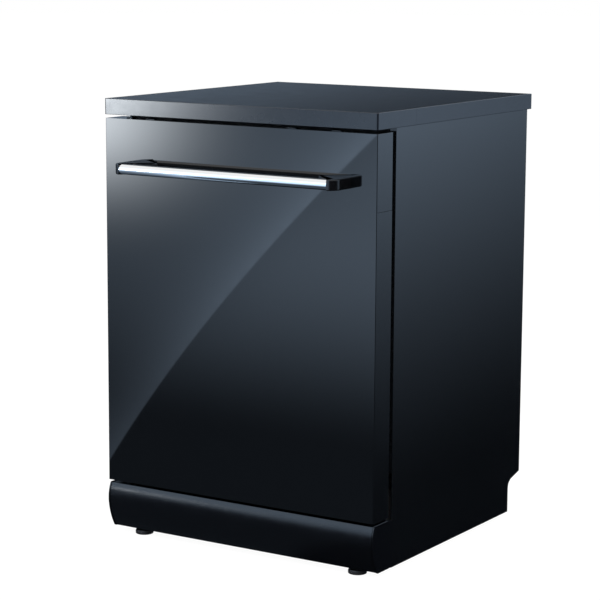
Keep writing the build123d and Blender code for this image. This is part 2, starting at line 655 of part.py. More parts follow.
def plinth_outline(inset):
    """Side view of the bowed plinth's outside, or its inside when moved in by the wall."""
    top = PLINTH_TOP - inset
    nose = 7.0
    upper = (behind(inset - 0.8), PLINTH_TOP - nose)
    foot = (behind(inset + PLINTH_SWEEP), PLINTH_BOTTOM - inset)
    belly = (behind(inset + PLINTH_SWEEP * 0.26), (PLINTH_TOP + PLINTH_BOTTOM) / 2 + 8)
    corner = ((behind(nose * 0.3 - 0.8 + inset * 0.7)), top - nose * 0.3 + inset * 0.3)
    back = Y_BODY + inset
    crest = (behind(nose), top)

    def point(pair_yz):
        return (0, pair_yz[0], pair_yz[1])

    edges = [
        ThreePointArc(point(crest), point(corner), point(upper)),
        ThreePointArc(point(upper), point(belly), point(foot)),
        Polyline(point(foot), (0, back, foot[1]), (0, back, top), point(crest)),
    ]
    return make_face(Curve() + edges)


def plinth():
    """Bowed moulding under the door with side returns and the ribs that meet the tray."""
    outer = Pos(-BODY_X, 0, 0) * extrude(plinth_outline(0), amount=2 * BODY_X, dir=(1, 0, 0))
    half = BODY_X - PLINTH_WALL
    inner = Pos(-half, 0, 0) * extrude(plinth_outline(PLINTH_WALL), amount=2 * half, dir=(1, 0, 0))
    shell = outer - inner
    ribs = []
    for x in (60.0, 180.0):
        rib = slab((x, x + PLINTH_WALL), (behind(1), TONGUE_Y), (TRAY_BOTTOM + 4, TRAY_BOTTOM + 30))
        ribs += pair(rib & outer)
    return shell + ribs


def foot(x, y):
    """Levelling foot: a round pad on a long screw."""
    pad = rod_z(x, y, (0, 9), FOOT_R)
    pad = chamfer(pad.edges().filter_by(GeomType.CIRCLE).sort_by(Axis.Z)[0], 1.5)
    return pad + rod_z(x, y, (9, 78), SCREW_R)


def hinge_brackets():
    """Steel plates on the tray's walls that reach forward to the door's hinge pins."""
    x = (TRAY_HALF, TRAY_HALF + HINGE_PLATE)
    nose = rod_x(x, HINGE_Y, HINGE_Z, HINGE_HUB)
    front = Y_BODY + SHEET
    reach = slab(x, (HINGE_Y, front + 4), (HINGE_Z - HINGE_HUB, HINGE_Z + HINGE_HUB))
    web = [
        (front, HINGE_Z + HINGE_HUB + 8),
        (front + 90, HINGE_Z + HINGE_HUB + 8),
        (front + 90, HINGE_Z - 45),
        (front + 30, HINGE_Z - 60),
        (front, HINGE_Z - 40),
    ]
    pin = rod_x((x[0], PIN_END), HINGE_Y, HINGE_Z, HINGE_PIN_R)
    anchor = rod_x((x[0], PIN_END), SPRING_ANCHOR_Y, LEVER_Z, 3.0)
    pad = rod_x(x, SPRING_ANCHOR_Y, LEVER_Z, 7.0)
    arm = prism_x(
        [
            (front + 60, HINGE_Z - 20),
            (SPRING_ANCHOR_Y, LEVER_Z - 6),
            (SPRING_ANCHOR_Y, LEVER_Z + 6),
            (front + 60, HINGE_Z + HINGE_HUB + 8),
        ],
        x,
    )
    return pair(nose + [reach, prism_x(web, x), arm, pad, pin, anchor])


def door_springs():
    """Springs low down on each side that balance the door."""
    mid_x = PIN_END - 3.0
    eye_low = TRAY_HALF + 2 * HINGE_PLATE + 0.5 + TOUCH
    eye_x = (eye_low, eye_low + 2.6)
    link_x = (eye_x[0] + eye_x[1]) / 2
    coil = (Y_BODY + 34, SPRING_ANCHOR_Y - 14)
    body = rod_y(mid_x, coil, LEVER_Z, 4.4)
    links = rod_y(link_x, (HINGE_Y + 5, coil[0] + 1), LEVER_Z, 1.1)
    links += rod_y(link_x, (coil[1] - 1, SPRING_ANCHOR_Y - 5), LEVER_Z, 1.1)
    eyes = [rod_x(eye_x, y, LEVER_Z, 6.0) for y in (HINGE_Y, SPRING_ANCHOR_Y)]
    bore_x = (eye_x[0] - 1, eye_x[1] + 1)
    bores = [rod_x(bore_x, y, LEVER_Z, 3.0 + TOUCH) for y in (HINGE_Y, SPRING_ANCHOR_Y)]
    return pair(body + [links] + eyes - bores)


def circulation_pump():
    """Heater pump: snail housing on the sump's port with its motor behind."""
    x = PUMP_X0
    snail = rod_x((x, x + 34), ARM_Y, PUMP_Z, 42.0)
    snail += slab((x + 4, x + 30), (ARM_Y, ARM_Y + 60), (PUMP_Z + 10, PUMP_Z + 38))
    motor = rod_x((x + 34, x + 104), ARM_Y, PUMP_Z, 36.0)
    cap = rod_x((x + 104, x + 112), ARM_Y, PUMP_Z, 20.0)
    cradle = slab((x + 40, x + 96), (ARM_Y - 22, ARM_Y + 22), (TRAY_BOTTOM + TRAY_WALL, PUMP_Z - 20))
    return snail + [motor, cap, cradle]


def drain_pump():
    """Small drain pump on the sump's second port."""
    y = ARM_Y - DRAIN_Y0
    head = rod_y(DRAIN_X, (y - 26, y), PUMP_Z, 25.0)
    motor = rod_y(DRAIN_X, (y - 70, y - 26), PUMP_Z, 20.0)
    cradle = slab((DRAIN_X - 12, DRAIN_X + 12), (y - 64, y - 30), (TRAY_BOTTOM + TRAY_WALL, PUMP_Z - 8))
    return head + [motor, cradle]


def water_softener():
    """Salt tank standing in the tray, its lid with the filling neck, and the neck's threaded ring."""
    low = TRAY_BOTTOM + TRAY_WALL
    top = SUMP_LOW + 68
    seam = top - 5
    ring_low = TUB_FLOOR - 16
    block = slab((SALT_X - 60, SALT_X + 62), (SALT_Y - 52, SALT_Y + 52), (low, top))
    block = fillet(block.edges().filter_by(Axis.Z), 12.0)
    room = SALT_R - 4
    chamber = slab((SALT_X - room, SALT_X + room), (SALT_Y - room, SALT_Y + room), (low + 20, seam))
    above = slab((-WIDTH, 0), (Y_FRONT, Y_BACK), (seam, top))
    tank = block - chamber - above
    lid = (block & above) + rod_z(SALT_X, SALT_Y, (top - 1, ring_low), SALT_R + 5)
    lid -= rod_z(SALT_X, SALT_Y, (seam - 1, ring_low + 1), SALT_R + 2)
    thread = rod_z(SALT_X, SALT_Y, (ring_low, TUB_FLOOR - SHEET - TOUCH), SALT_R + 5)
    thread += rod_z(SALT_X, SALT_Y, (TUB_FLOOR - SHEET - 4, TUB_FLOOR), SALT_R - TOUCH)
    thread -= rod_z(SALT_X, SALT_Y, (ring_low - 1, TUB_FLOOR + 1), SALT_R - 6)
    return [tank, lid, thread]


def salt_cap():
    """Screw cap of the salt tank with a finger bar across its dish."""
    low = TUB_FLOOR + TOUCH
    cap = rod_z(SALT_X, SALT_Y, (low, low + 7), SALT_R + 5)
    cap -= rod_z(SALT_X, SALT_Y, (low + 2.5, low + 9), SALT_R - 2)
    grip = slab((SALT_X - SALT_R + 1, SALT_X + SALT_R - 1), (SALT_Y - 3, SALT_Y + 3), (low, low + 7))
    thread = rod_z(SALT_X, SALT_Y, (low - 14, low), SALT_R - 6 - TOUCH)
    thread -= rod_z(SALT_X, SALT_Y, (low - 20, low), SALT_R - 9)
    return cap + [grip, thread]


def water_chamber():
    """Flat inlet chamber between the tub and the left side."""
    x = (-INNER_X, -TUB_HALF - SHEET - 8.5)
    low = TUB_FLOOR + 72
    high = TUB_CEILING - 155
    body = slab(x, (ARM_Y - 90, ARM_Y + 110), (low, high))
    body = chamfer(body.edges().filter_by(Axis.X), 24.0)
    grooves = []
    for z in steps(low + 50, high - 50, 90):
        grooves.append(slab((x[1] - 3, x[1] + 1), (ARM_Y - 60, ARM_Y + 80), (z - 8, z + 8)))
    return body - grooves


def hose_spigot(x, radius, wall_thick):
    """A hollow spigot on a flange against the recess wall, and the body behind the wall."""
    wall = Y_REAR - RECESS_DEEP
    collar = 3.0
    neck = rod_y(x, (wall - SHEET - TRAY_WALL - 1, wall + collar), HOSE_Z, radius - 2)
    flange = rod_y(x, (wall, wall + collar), HOSE_Z, radius + 5)
    spigot = rod_y(x, (wall + collar, wall + SPIGOT_OUT), HOSE_Z, radius)
    bore = rod_y(x, (wall - 1, wall + SPIGOT_OUT + 1), HOSE_Z, radius - wall_thick)
    return neck + [flange, spigot] - bore


def inlet_valve():
    """Solenoid valve with its threaded inlet in the hose recess."""
    inside = Y_REAR - RECESS_DEEP - SHEET - TRAY_WALL
    x = -SPIGOT_X
    body = slab((x - 20, x + 20), (inside - 43, inside), (HOSE_Z - 20, HOSE_Z + 20))
    coil = rod_z(x, inside - 23, (HOSE_Z + 20, HOSE_Z + 52), 15.0)
    return hose_spigot(x, INLET_THREAD_R, 4.0) + [body, coil]


def drain_outlet():
    """Plain drain spigot in the hose recess."""
    inside = Y_REAR - RECESS_DEEP - SHEET - TRAY_WALL
    x = SPIGOT_X
    body = slab((x - 16, x + 16), (inside - 29, inside), (HOSE_Z - 16, HOSE_Z + 16))
    return hose_spigot(x, DRAIN_R, 2.5) + body


# Door


def door_front_panel():
    """Outer door: one tall front plate with side walls below the console."""
    block = slab((-BODY_X, BODY_X), (Y_DOOR, behind(DOOR_DEPTH)), (DOOR_BOTTOM, SEAM - TOUCH))
    half = BODY_X - SKIRT
    hollow = slab((-half, half), (behind(FRONT_THICK), behind(DOOR_DEPTH) + 1), (0, HEIGHT))
    plate = slab((-BODY_X, BODY_X), (Y_DOOR, behind(FRONT_THICK)), (SEAM - 10, DOOR_TOP))
    panel = block - hollow + plate
    corners = panel.edges().filter_by(Axis.Z).group_by(Axis.Y)[0]
    panel = fillet(corners, 1.5)
    lip_x = LINER_NOTCH - 1
    lip_y = (behind(FRONT_THICK), behind(46))
    return panel + slab((-lip_x, lip_x), lip_y, (DOOR_BOTTOM, DOOR_BOTTOM + 1.5))


def button_shape(x, z, grow):
    """Outline of a button's shaft, grown for the hole it runs in."""
    half_x = 8.0 + grow
    half_y = 5.0 + grow
    return slab((x - half_x, x + half_x), (BUTTON_Y - half_y, BUTTON_Y + half_y), z)


def control_console():
    """Plastic housing at the door's top: side cheeks, top strip, display recess, button holes."""
    block = slab((-BODY_X, BODY_X), (behind(FRONT_THICK), behind(DOOR_DEPTH)), (SEAM, DOOR_TOP))
    half = BODY_X - SKIRT
    hollow = slab((-half, half), (behind(FRONT_THICK) - 1, behind(DOOR_DEPTH) + 1), (0, DOOR_TOP - SKIRT))
    console = block - hollow
    console -= slab(DISPLAY_X, (BUTTON_Y - 7, BUTTON_Y + 7), (DOOR_TOP - 1.2, DOOR_TOP + 1))
    console -= slab((DISPLAY_X[0] + 3, DISPLAY_X[1] - 3), (BUTTON_Y - 4, BUTTON_Y + 4), (0, DOOR_TOP + 1))
    for x in BUTTON_X.values():
        console -= button_shape(x, (DOOR_TOP - 6, DOOR_TOP + 1), BUTTON_CLEAR)
    return console


def display_window():
    """Clear lens let into the console's top strip."""
    return slab(DISPLAY_X, (BUTTON_Y - 7, BUTTON_Y + 7), (DOOR_TOP - 1.2, DOOR_TOP))


def control_board():
    """Circuit board on its carrier below the console's top strip."""
    y = (behind(FRONT_THICK), behind(30))
    half = BODY_X - 48.6
    board = slab((-half, half), y, (BOARD_Z - 1.6, BOARD_Z))
    fittings = []
    stand_z = (BOARD_Z, BUTTON_FOOT - BUTTON_TRAVEL - 0.3)
    for x in BUTTON_X.values():
        fittings.append(slab((x - 3, x + 3), (BUTTON_Y - 3, BUTTON_Y + 3), stand_z))
    for x in (-200, -60, 20):
        fittings.append(slab((x, x + 20), (behind(8), behind(26)), (BOARD_Z - 16, BOARD_Z - 1)))
    for x in (5 - half, half - 5):
        fittings.append(slab((x - 3, x + 3), (y[0], y[0] + 5), (BOARD_Z, DOOR_TOP - SKIRT)))
    return board + fittings


def button(x):
    """Push button with a flat cap and a retaining shoulder under the strip."""
    stem = button_shape(x, (BUTTON_FOOT, DOOR_TOP + BUTTON_PROUD), 0)
    shoulder = slab((x - 10, x + 10), (BUTTON_Y - 6, BUTTON_Y + 6), (BUTTON_FOOT, BUTTON_FOOT + 2.1))
    return stem + shoulder


def door_inner_panel():
    """Stainless inner door: flat rim, raised middle, dispenser and latch openings."""
    half = BODY_X - SKIRT
    sheet_y = (behind(LINER_DEPTH), behind(LINER_DEPTH + SHEET))
    rim = slab((-half, half), sheet_y, (LINER_LOW, DOOR_TOP - SKIRT))
    face_y = behind(PAN_FACE)
    pan = slab((-PAN_HALF, PAN_HALF), (behind(LINER_DEPTH), face_y), (PAN_LOW, PAN_HIGH))
    pan = fillet(pan.edges().filter_by(Axis.Y), 16.0)
    pan = chamfer(pan.faces().sort_by(Axis.Y)[-1].edges(), 3.0)
    core_half = PAN_HALF - SHEET
    core_y = (behind(LINER_DEPTH) - 1, face_y - SHEET)
    core = slab((-core_half, core_half), core_y, (PAN_LOW + SHEET, PAN_HIGH - SHEET))
    core = fillet(core.edges().filter_by(Axis.Y), 16.0 - SHEET)
    core = chamfer(core.faces().sort_by(Axis.Y)[-1].edges(), 2.4)
    liner = rim + pan - core
    through = (behind(LINER_DEPTH) - 2, face_y + 2)
    clear = DISPENSER_FIT
    liner -= slab((-DISP_HALF - clear, DISP_HALF + clear), through, (DISP_LOW - clear, DISP_HIGH + clear))
    liner -= slab((-STRIKE_HALF - 4, STRIKE_HALF + 4), through, (STRIKE_Z - 7, STRIKE_Z + 7))
    return liner - both(slab((LINER_NOTCH, BODY_X), through, (0, HINGE_Z + 48)))


def door_bottom_seal():
    """Rubber strip under the inner door's raised middle, facing the tub's sill."""
    y = (behind(LINER_DEPTH + SHEET), Y_BODY - SILL_STEP - 0.5)
    return slab((-TUB_HALF, TUB_HALF), y, (PAN_LOW - 8, PAN_LOW - 0.5))


def door_insulation():
    """Sound-deadening mat behind the front plate, with the dispenser's hole."""
    y = (behind(FRONT_THICK), behind(FRONT_THICK + 14))
    half = BODY_X - 30.6
    mat = slab((-half, half), y, (DOOR_BOTTOM + 90, SEAM - 20))
    slit = slab((-40, 40), (y[0] + 6, y[1] + 1), (DISP_LOW - 20, DISP_HIGH + 20))
    return mat - slit


def hinge_arms():
    """Steel levers inside the door that turn on the pins and carry the springs."""
    x0 = TRAY_HALF + HINGE_PLATE + 0.5
    x = (x0, x0 + HINGE_PLATE)
    hub = rod_x(x, HINGE_Y, HINGE_Z, HINGE_HUB)
    back = behind(LINER_DEPTH)
    outline = [
        (HINGE_Y - HINGE_HUB, HINGE_Z),
        (HINGE_Y + HINGE_HUB, HINGE_Z),
        (HINGE_Y + HINGE_HUB, LEVER_Z + 14),
        (back, LEVER_Z + 26),
        (back, LEVER_Z + 150),
        (HINGE_Y - 2, LEVER_Z + 150),
        (HINGE_Y - HINGE_HUB, LEVER_Z + 100),
    ]
    blade = prism_x(outline, x)
    foot_x = (x[0] - 16, x[1])
    flange = slab(foot_x, (back - HINGE_PLATE, back), (LEVER_Z + 30, LEVER_Z + 150))
    stud = rod_x((x[0], PIN_END), HINGE_Y, LEVER_Z, 3.0)
    bore = rod_x((x[0] - 1, x[1] + 1), HINGE_Y, HINGE_Z, HINGE_PIN_R + PIN_CLEAR)
    return pair(hub + [blade, flange, stud] - bore)


def door_latch():
    """Latch box behind the console with the mouth that takes the strike."""
    y = (behind(31), behind(LINER_DEPTH))
    box = slab((-30, 30), y, (STRIKE_Z - 26, STRIKE_Z + 9))
    mouth = slab((-STRIKE_HALF - 2, STRIKE_HALF + 2), (behind(35), y[1] + 1), (STRIKE_Z - 5, STRIKE_Z + 5))
    ear = slab((-42, 42), (y[1] - 3, y[1]), (STRIKE_Z - 24, STRIKE_Z - 12))
    return box + ear - mouth


def dispenser_body():
    """Detergent dispenser let into the inner door: flange, detergent cup, rinse-aid port, ears."""
    face = behind(PAN_FACE) + DISP_FLANGE
    body = slab((-DISP_HALF, DISP_HALF), (behind(20), face), (DISP_LOW, DISP_HIGH))
    flange_y = (behind(PAN_FACE), face)
    flange = slab((-DISP_HALF - 6, DISP_HALF + 6), flange_y, (DISP_LOW - 6, DISP_HIGH + 6))
    flange = fillet(flange.edges().filter_by(Axis.Y), 8.0)
    cup = slab((CUP_BOX_X[0], CUP_BOX_X[1]), (face - 28, face + 1), (DISP_LOW + 24, DISP_HIGH - 24))
    cup = fillet(cup.edges().filter_by(Axis.Y), 10.0)
    port = rod_y(RINSE_X, (face - 12, face + 1), RINSE_Z, RINSE_R - 4)
    ears = []
    for z in (DISP_LOW + 12, DISP_HIGH - 18):
        ears.append(slab((LID_AXIS_X - 4, LID_AXIS_X + 3), (face, LID_AXIS_Y + 3), (z, z + 6)))
    pin = rod_z(LID_AXIS_X, LID_AXIS_Y, (DISP_LOW + 12, DISP_HIGH - 12), 1.6)
    dispenser = body + flange - cup - port
    return [dispenser + ears + pin]


def dispenser_lid():
    """Sprung lid of the detergent cup, on its upright pin."""
    face = behind(PAN_FACE) + DISP_FLANGE
    y = (face + TOUCH, face + TOUCH + 3)
    z = (DISP_LOW + 19, DISP_HIGH - 19)
    lid = slab((LID_AXIS_X, CUP_BOX_X[1] + 5), y, z)
    barrel = rod_z(LID_AXIS_X, LID_AXIS_Y, z, 3.0)
    ridge = slab((CUP_BOX_X[1] - 6, CUP_BOX_X[1] - 2), (y[0], y[1] + 2), (z[0] + 18, z[1] - 18))
    bore = rod_z(LID_AXIS_X, LID_AXIS_Y, (z[0] - 1, z[1] + 1), 1.6 + PIN_CLEAR)
    return lid + [barrel, ridge] - bore


def rinse_aid_cap():
    """Quarter-turn cap over the rinse-aid tank."""
    face = behind(PAN_FACE) + DISP_FLANGE
    cap = rod_y(RINSE_X, (face + TOUCH, face + TOUCH + 4), RINSE_Z, RINSE_R)
    plug = rod_y(RINSE_X, (face - 8, face + TOUCH), RINSE_Z, RINSE_R - 4 - TOUCH)
    grip_y = (face + TOUCH + 4, face + TOUCH + 7)
    grip = slab((RINSE_X - RINSE_R + 4, RINSE_X + RINSE_R - 4), grip_y, (RINSE_Z - 2.5, RINSE_Z + 2.5))
    return cap + [plug, grip]


def handle_bar():
    """Chromed tube between the two brackets."""
    y = Y_DOOR - HANDLE_STANDOFF
    half = BAR_LENGTH / 2
    tube = rod_x((-half, half), y, HANDLE_Z, BAR_R)
    return tube - rod_x((-half - 1, half + 1), y, HANDLE_Z, BAR_R - BAR_WALL)


def bracket_outline():
    """Plan of the right-hand bracket: broad foot on the door, rounded nose at the bar's end."""
    front = Y_DOOR - HANDLE_STANDOFF - BAR_R
    end = BAR_LENGTH / 2 + TOUCH
    seat = Y_DOOR - HANDLE_STANDOFF + BAR_R + TOUCH
    shoulder = (BRACKET_FOOT_OUT - 1, front + 2.7 * BAR_R, 0)
    crest = (end + (BRACKET_FOOT_OUT - end) * 0.75, front + BAR_R * 0.9, 0)
    waist = (end - 24, seat, 0)
    heel = (BRACKET_FOOT_IN, Y_DOOR, 0)
    nose = ThreePointArc((end, front, 0), crest, shoulder)
    foot_edge = Polyline(shoulder, (BRACKET_FOOT_OUT, Y_DOOR, 0), heel)
    inside = ThreePointArc(heel, (BRACKET_FOOT_IN + 16, Y_DOOR - 11, 0), waist)
    under = Polyline(waist, (end, seat, 0), (end, front, 0))
    return make_face(Curve() + [nose, foot_edge, inside, under])


def handle_brackets():
    """Black end pieces that carry the bar on a spigot inside each end."""
    low = HANDLE_Z - BAR_R
    block = Pos(0, 0, low) * extrude(bracket_outline(), amount=2 * BAR_R, dir=(0, 0, 1))
    y = Y_DOOR - HANDLE_STANDOFF
    end = BAR_LENGTH / 2
    spigot = rod_x((end - 22, end + 6), y, HANDLE_Z, BAR_R - BAR_WALL - 0.05)
    return pair(block + spigot)


# Racks


def rack_wires(half, floor, rim, x_pitch, y_pitch):
    """Wires of a rack: U-shaped runs front to back and side to side, with two frames."""
    runs = []
    for x in steps(-half + 15, half - 15, x_pitch):
        low = floor + WIRE_LIFT
        points = [(x, RACK_FRONT, rim), (x, RACK_FRONT, low), (x, RACK_BACK, low), (x, RACK_BACK, rim)]
        runs.append(wire(points, (1, 0, 0)))
    for y in steps(RACK_FRONT + 15, RACK_BACK - 15, y_pitch):
        points = [(-half, y, rim), (-half, y, floor), (half, y, floor), (half, y, rim)]
        runs.append(wire(points, (0, 1, 0)))
    runs.append(ring(half, RACK_FRONT, RACK_BACK, rim, 5.0, 14.0))
    middle = (floor + rim) / 2 + 8
    runs.append(ring(half, RACK_FRONT, RACK_BACK, middle, 3.6, 14.0))
    return runs


def tine(x, y, foot_z, high):
    """One upright plate tine."""
    return Pos(x, y, foot_z) * extrude(RegularPolygon(TINE_R, 6), amount=high)


def mats(wires, half, floor):
    """Welded wires as flat mats, parted where they bend: floor, front, back and both sides."""
    rack = wires[0] + wires[1:]
    wide = (-WIDTH, WIDTH)
    deep = (Y_FRONT, Y_BACK)
    tall = (0, HEIGHT)
    near = WIRE_R + 1.0
    zones = [slab(wide, deep, (0, floor + WIRE_LIFT + near)), slab(wide, (Y_FRONT, RACK_FRONT + near), tall)]
    zones += [slab(wide, (RACK_BACK - near, Y_BACK), tall), slab((half - near, WIDTH), deep, tall)]
    zones += [slab((-WIDTH, near - half), deep, tall)]
    parted = []
    for zone in zones:
        parted.append(rack & zone)
        rack -= zone
    return parted + [rack]


def lower_rack():
    """Lower rack: wire basket with fixed plate tines."""
    wires = rack_wires(LOWER_HALF, LOWER_FLOOR, LOWER_RIM, WIRE_PITCH, WIRE_PITCH)
    rows = steps(RACK_FRONT + 15, RACK_BACK - 15, WIRE_PITCH)
    for x in TINE_X:
        for y in rows[1:-1]:
            wires.append(tine(x, y, LOWER_FLOOR, TINE_HIGH))
    return mats(wires, LOWER_HALF, LOWER_FLOOR)


def wheel_clips():
    """Clips on the lower rack's sides with a stub axle for each wheel."""
    inner = LOWER_HALF + FLAT
    parts = []
    for y in WHEEL_Y:
        plate = slab((inner, inner + 4), (y - 28, y + 28), (WHEEL_Z - 8, WHEEL_Z + 50))
        plate = chamfer(plate.edges().filter_by(Axis.X), 7.0)
        axle = rod_x((inner + 3, WHEEL_OUT + TOUCH + 1.5), y, WHEEL_Z, AXLE_R)
        head = rod_x((WHEEL_OUT + TOUCH, WHEEL_OUT + TOUCH + 1.5), y, WHEEL_Z, AXLE_R + 1.5)
        parts += pair(plate + [axle, head])
    return parts


def wheel_pair(y):
    """Two spoked plastic wheels on one line, left and right."""
    x = (WHEEL_OUT - WHEEL_WIDE, WHEEL_OUT)
    wheel = rod_x(x, y, WHEEL_Z, WHEEL_R)
    wheel -= rod_x((x[1] - 3, x[1] + 1), y, WHEEL_Z, WHEEL_R - 3)
    wheel += rod_x((x[1] - 3, x[1]), y, WHEEL_Z, AXLE_R + 3)
    for i in range(5):
        turn = Pos(0, y, WHEEL_Z) * Rot(72 * i, 0, 0)
        wheel -= turn * rod_x((x[0] - 1, x[1] + 1), 0, 11.2, 2.6)
    return pair(wheel - rod_x((x[0] - 1, x[1] + 1), y, WHEEL_Z, AXLE_R + PIN_CLEAR))


def lower_fold_tines():
    """Folding row of plate tines on a round bar."""
    bar = rod_x(FOLD_X, FOLD_Y, FOLD_Z, FOLD_R)
    tines = []
    for x in steps(FOLD_X[0] + 18, FOLD_X[1] - 18, 34.0):
        tines.append(tine(x, FOLD_Y, FOLD_Z, TINE_HIGH))
    return bar + tines


def fold_clips():
    """Plastic clips that straddle two floor wires and hold the folding row's bar."""
    wire_z = LOWER_FLOOR + WIRE_LIFT
    parts = []
    for x in FOLD_WIRES:
        block = slab((x - 5, x + 5), (FOLD_Y - 6, FOLD_Y + 6), (wire_z - 1, FOLD_Z + 5))
        block -= wire([(x, FOLD_Y - 20, wire_z), (x, FOLD_Y + 20, wire_z)], (1, 0, 0))
        parts.append(block - rod_x((x - 6, x + 6), FOLD_Y, FOLD_Z, FOLD_R + PIN_CLEAR))
    return parts


def cutlery_basket():
    """Slotted plastic basket for cutlery with a carrying handle over its middle."""
    x, y = BASKET_X, BASKET_Y
    low = LOWER_FLOOR + WIRE_LIFT + FLAT + TOUCH
    z = (low, low + 118)
    wall = 2.5
    shell = slab(x, y, z)
    cells = steps(y[0] + wall / 2, y[1] - wall / 2, 72.0)
    for start, stop in zip(cells[:-1], cells[1:]):
        cell_y = (start + wall / 2, stop - wall / 2)
        shell -= slab((x[0] + wall, x[1] - wall), cell_y, (z[0] + wall, z[1] + 1))
        middle = (start + stop) / 2
        for shift in (-22.0, 0.0, 22.0):
            slot_y = (middle + shift - 6, middle + shift + 6)
            shell -= slab((x[0] - 1, x[1] + 1), slot_y, (z[0] + 14, z[0] + 46))
            shell -= slab((x[0] - 1, x[1] + 1), slot_y, (z[0] + 58, z[0] + 92))
    mid = (x[0] + x[1]) / 2
    grip = slab((mid - 3, mid + 3), (y[0], y[1]), (z[1] - 4, z[1] + 24))
    grip -= slab((mid - 4, mid + 4), (y[0] + 14, y[1] - 14), (z[1] - 10, z[1] + 14))
    return shell + grip


def upper_rack():
    """Upper rack: shallower wire basket with two rows of cup tines."""
    wires = rack_wires(UPPER_HALF, UPPER_FLOOR, UPPER_RIM, WIRE_PITCH * 1.2, WIRE_PITCH)
    rows = steps(RACK_FRONT + 15, RACK_BACK - 15, WIRE_PITCH)
    for x in (-62.0, 62.0):
        for y in rows[1:-1]:
            wires.append(tine(x, y, UPPER_FLOOR, TINE_HIGH * 0.5))
    return mats(wires + shelf_wires(), UPPER_HALF, UPPER_FLOOR)


def upper_rails():
    """C-shaped rails on the upper rack's sides that run on the tub's rollers."""
    inner = UPPER_HALF + FLAT
    wall = 1.5
    z = (RAIL_Z - RAIL_HIGH / 2, RAIL_Z + RAIL_HIGH / 2)
    rail = slab((inner, ROLLER_X + ROLLER_WIDE), (RACK_FRONT, RACK_BACK), z)
    inside = slab((inner + wall, ROLLER_X + 40), (RACK_FRONT - 1, RACK_BACK + 1), (z[0] + wall, z[1] - wall))
    return pair(rail - inside)


def upper_manifold():
    """Flat water duct under the upper rack, with the post that the upper arm turns on."""
    top = UPPER_FLOOR - FLAT
    low = top - 12
    duct = slab((-11, 11), (ARM_Y - 14, RACK_BACK), (low, top))
    hub = rod_z(0, ARM_Y, (UPPER_ARM_Z + ARM_THICK + ARM_FLOAT, top), 15.0)
    post = rod_z(0, ARM_Y, (UPPER_ARM_Z - 3, UPPER_ARM_Z + ARM_THICK + ARM_FLOAT), POST_R)
    nut = rod_z(0, ARM_Y, (UPPER_ARM_Z - 3, UPPER_ARM_Z - TOUCH), POST_R + 3)
    return duct + [hub, post, nut]


def spray_arm(radius, z):
    """Two-bladed spray arm with a round hub, tapering tips and raised jets."""
    top = z + ARM_THICK
    outline = [
        (-radius, -10),
        (-radius + 14, -16),
        (-40, -24),
        (40, -21),
        (radius - 14, -12),
        (radius, -6),
        (radius, 10),
        (radius - 14, 16),
        (40, 24),
        (-40, 21),
        (-radius + 14, 12),
        (-radius, 6),
    ]
    blades = prism_z(outline, (z, top))
    blades = chamfer(blades.faces().sort_by(Axis.Z)[-1].edges(), 3.0)
    hub = rod_z(0, 0, (z, top), 27.0)
    jets = []
    for x in (-0.85, -0.62, -0.4, 0.3, 0.52, 0.74, 0.92):
        jets.append(slab((x * radius - 5, x * radius + 5), (-1.5, 1.5), (top - 1, top + 1)))
    arm = blades + hub - jets
    arm -= rod_z(0, 0, (z - 1, top + 1), POST_R + PIN_CLEAR)
    return Pos(0, ARM_Y, 0) * arm


def cup_shelf():
    """Right-hand folding cup shelf: a slotted flap on the rack's side rail wire."""
    reach = 78.0
    x = (SHELF_X - reach, SHELF_X - 5)
    y = (RACK_FRONT + 60, RACK_BACK - 60)
    flap = slab(x, y, (SHELF_Z - 1.5, SHELF_Z + 1.5))
    slots = []
    for middle in steps(y[0] + 26, y[1] - 26, 40.0):
        slots.append(slab((x[0] + 10, x[1] - 12), (middle - 13, middle + 13), (SHELF_Z - 3, SHELF_Z + 3)))
    hooks = []
    for middle in (y[0] + 12, (y[0] + y[1]) / 2, y[1] - 12):
        span = (middle - 8, middle + 8)
        hooks.append(rod_y(SHELF_X, span, SHELF_Z, SHELF_PIN_R + 3))
        hooks.append(slab((x[1] - 2, SHELF_X), span, (SHELF_Z - 1.5, SHELF_Z + 1.5)))
    bores = []
    for middle in (y[0] + 12, (y[0] + y[1]) / 2, y[1] - 12):
        bores.append(rod_y(SHELF_X, (middle - 9, middle + 9), SHELF_Z, SHELF_PIN_R + PIN_CLEAR))
    return flap + hooks - slots - bores


def shelf_wires():
    """Round wires above the upper rack's sides that the cup shelves hang on."""
    y = (RACK_FRONT + 46, RACK_BACK - 46)
    bar = rod_y(SHELF_X, y, SHELF_Z, SHELF_PIN_R)
    for end in y:
        foot_z = UPPER_RIM + 2.5
        bar += slab((SHELF_X - 2, SHELF_X + 2), (end - 2, end + 2), (foot_z, SHELF_Z + 2))
        bar += slab((SHELF_X - 2, UPPER_HALF + 2.5), (end - 2, end + 2), (foot_z, foot_z + 4))
    return pair(bar)


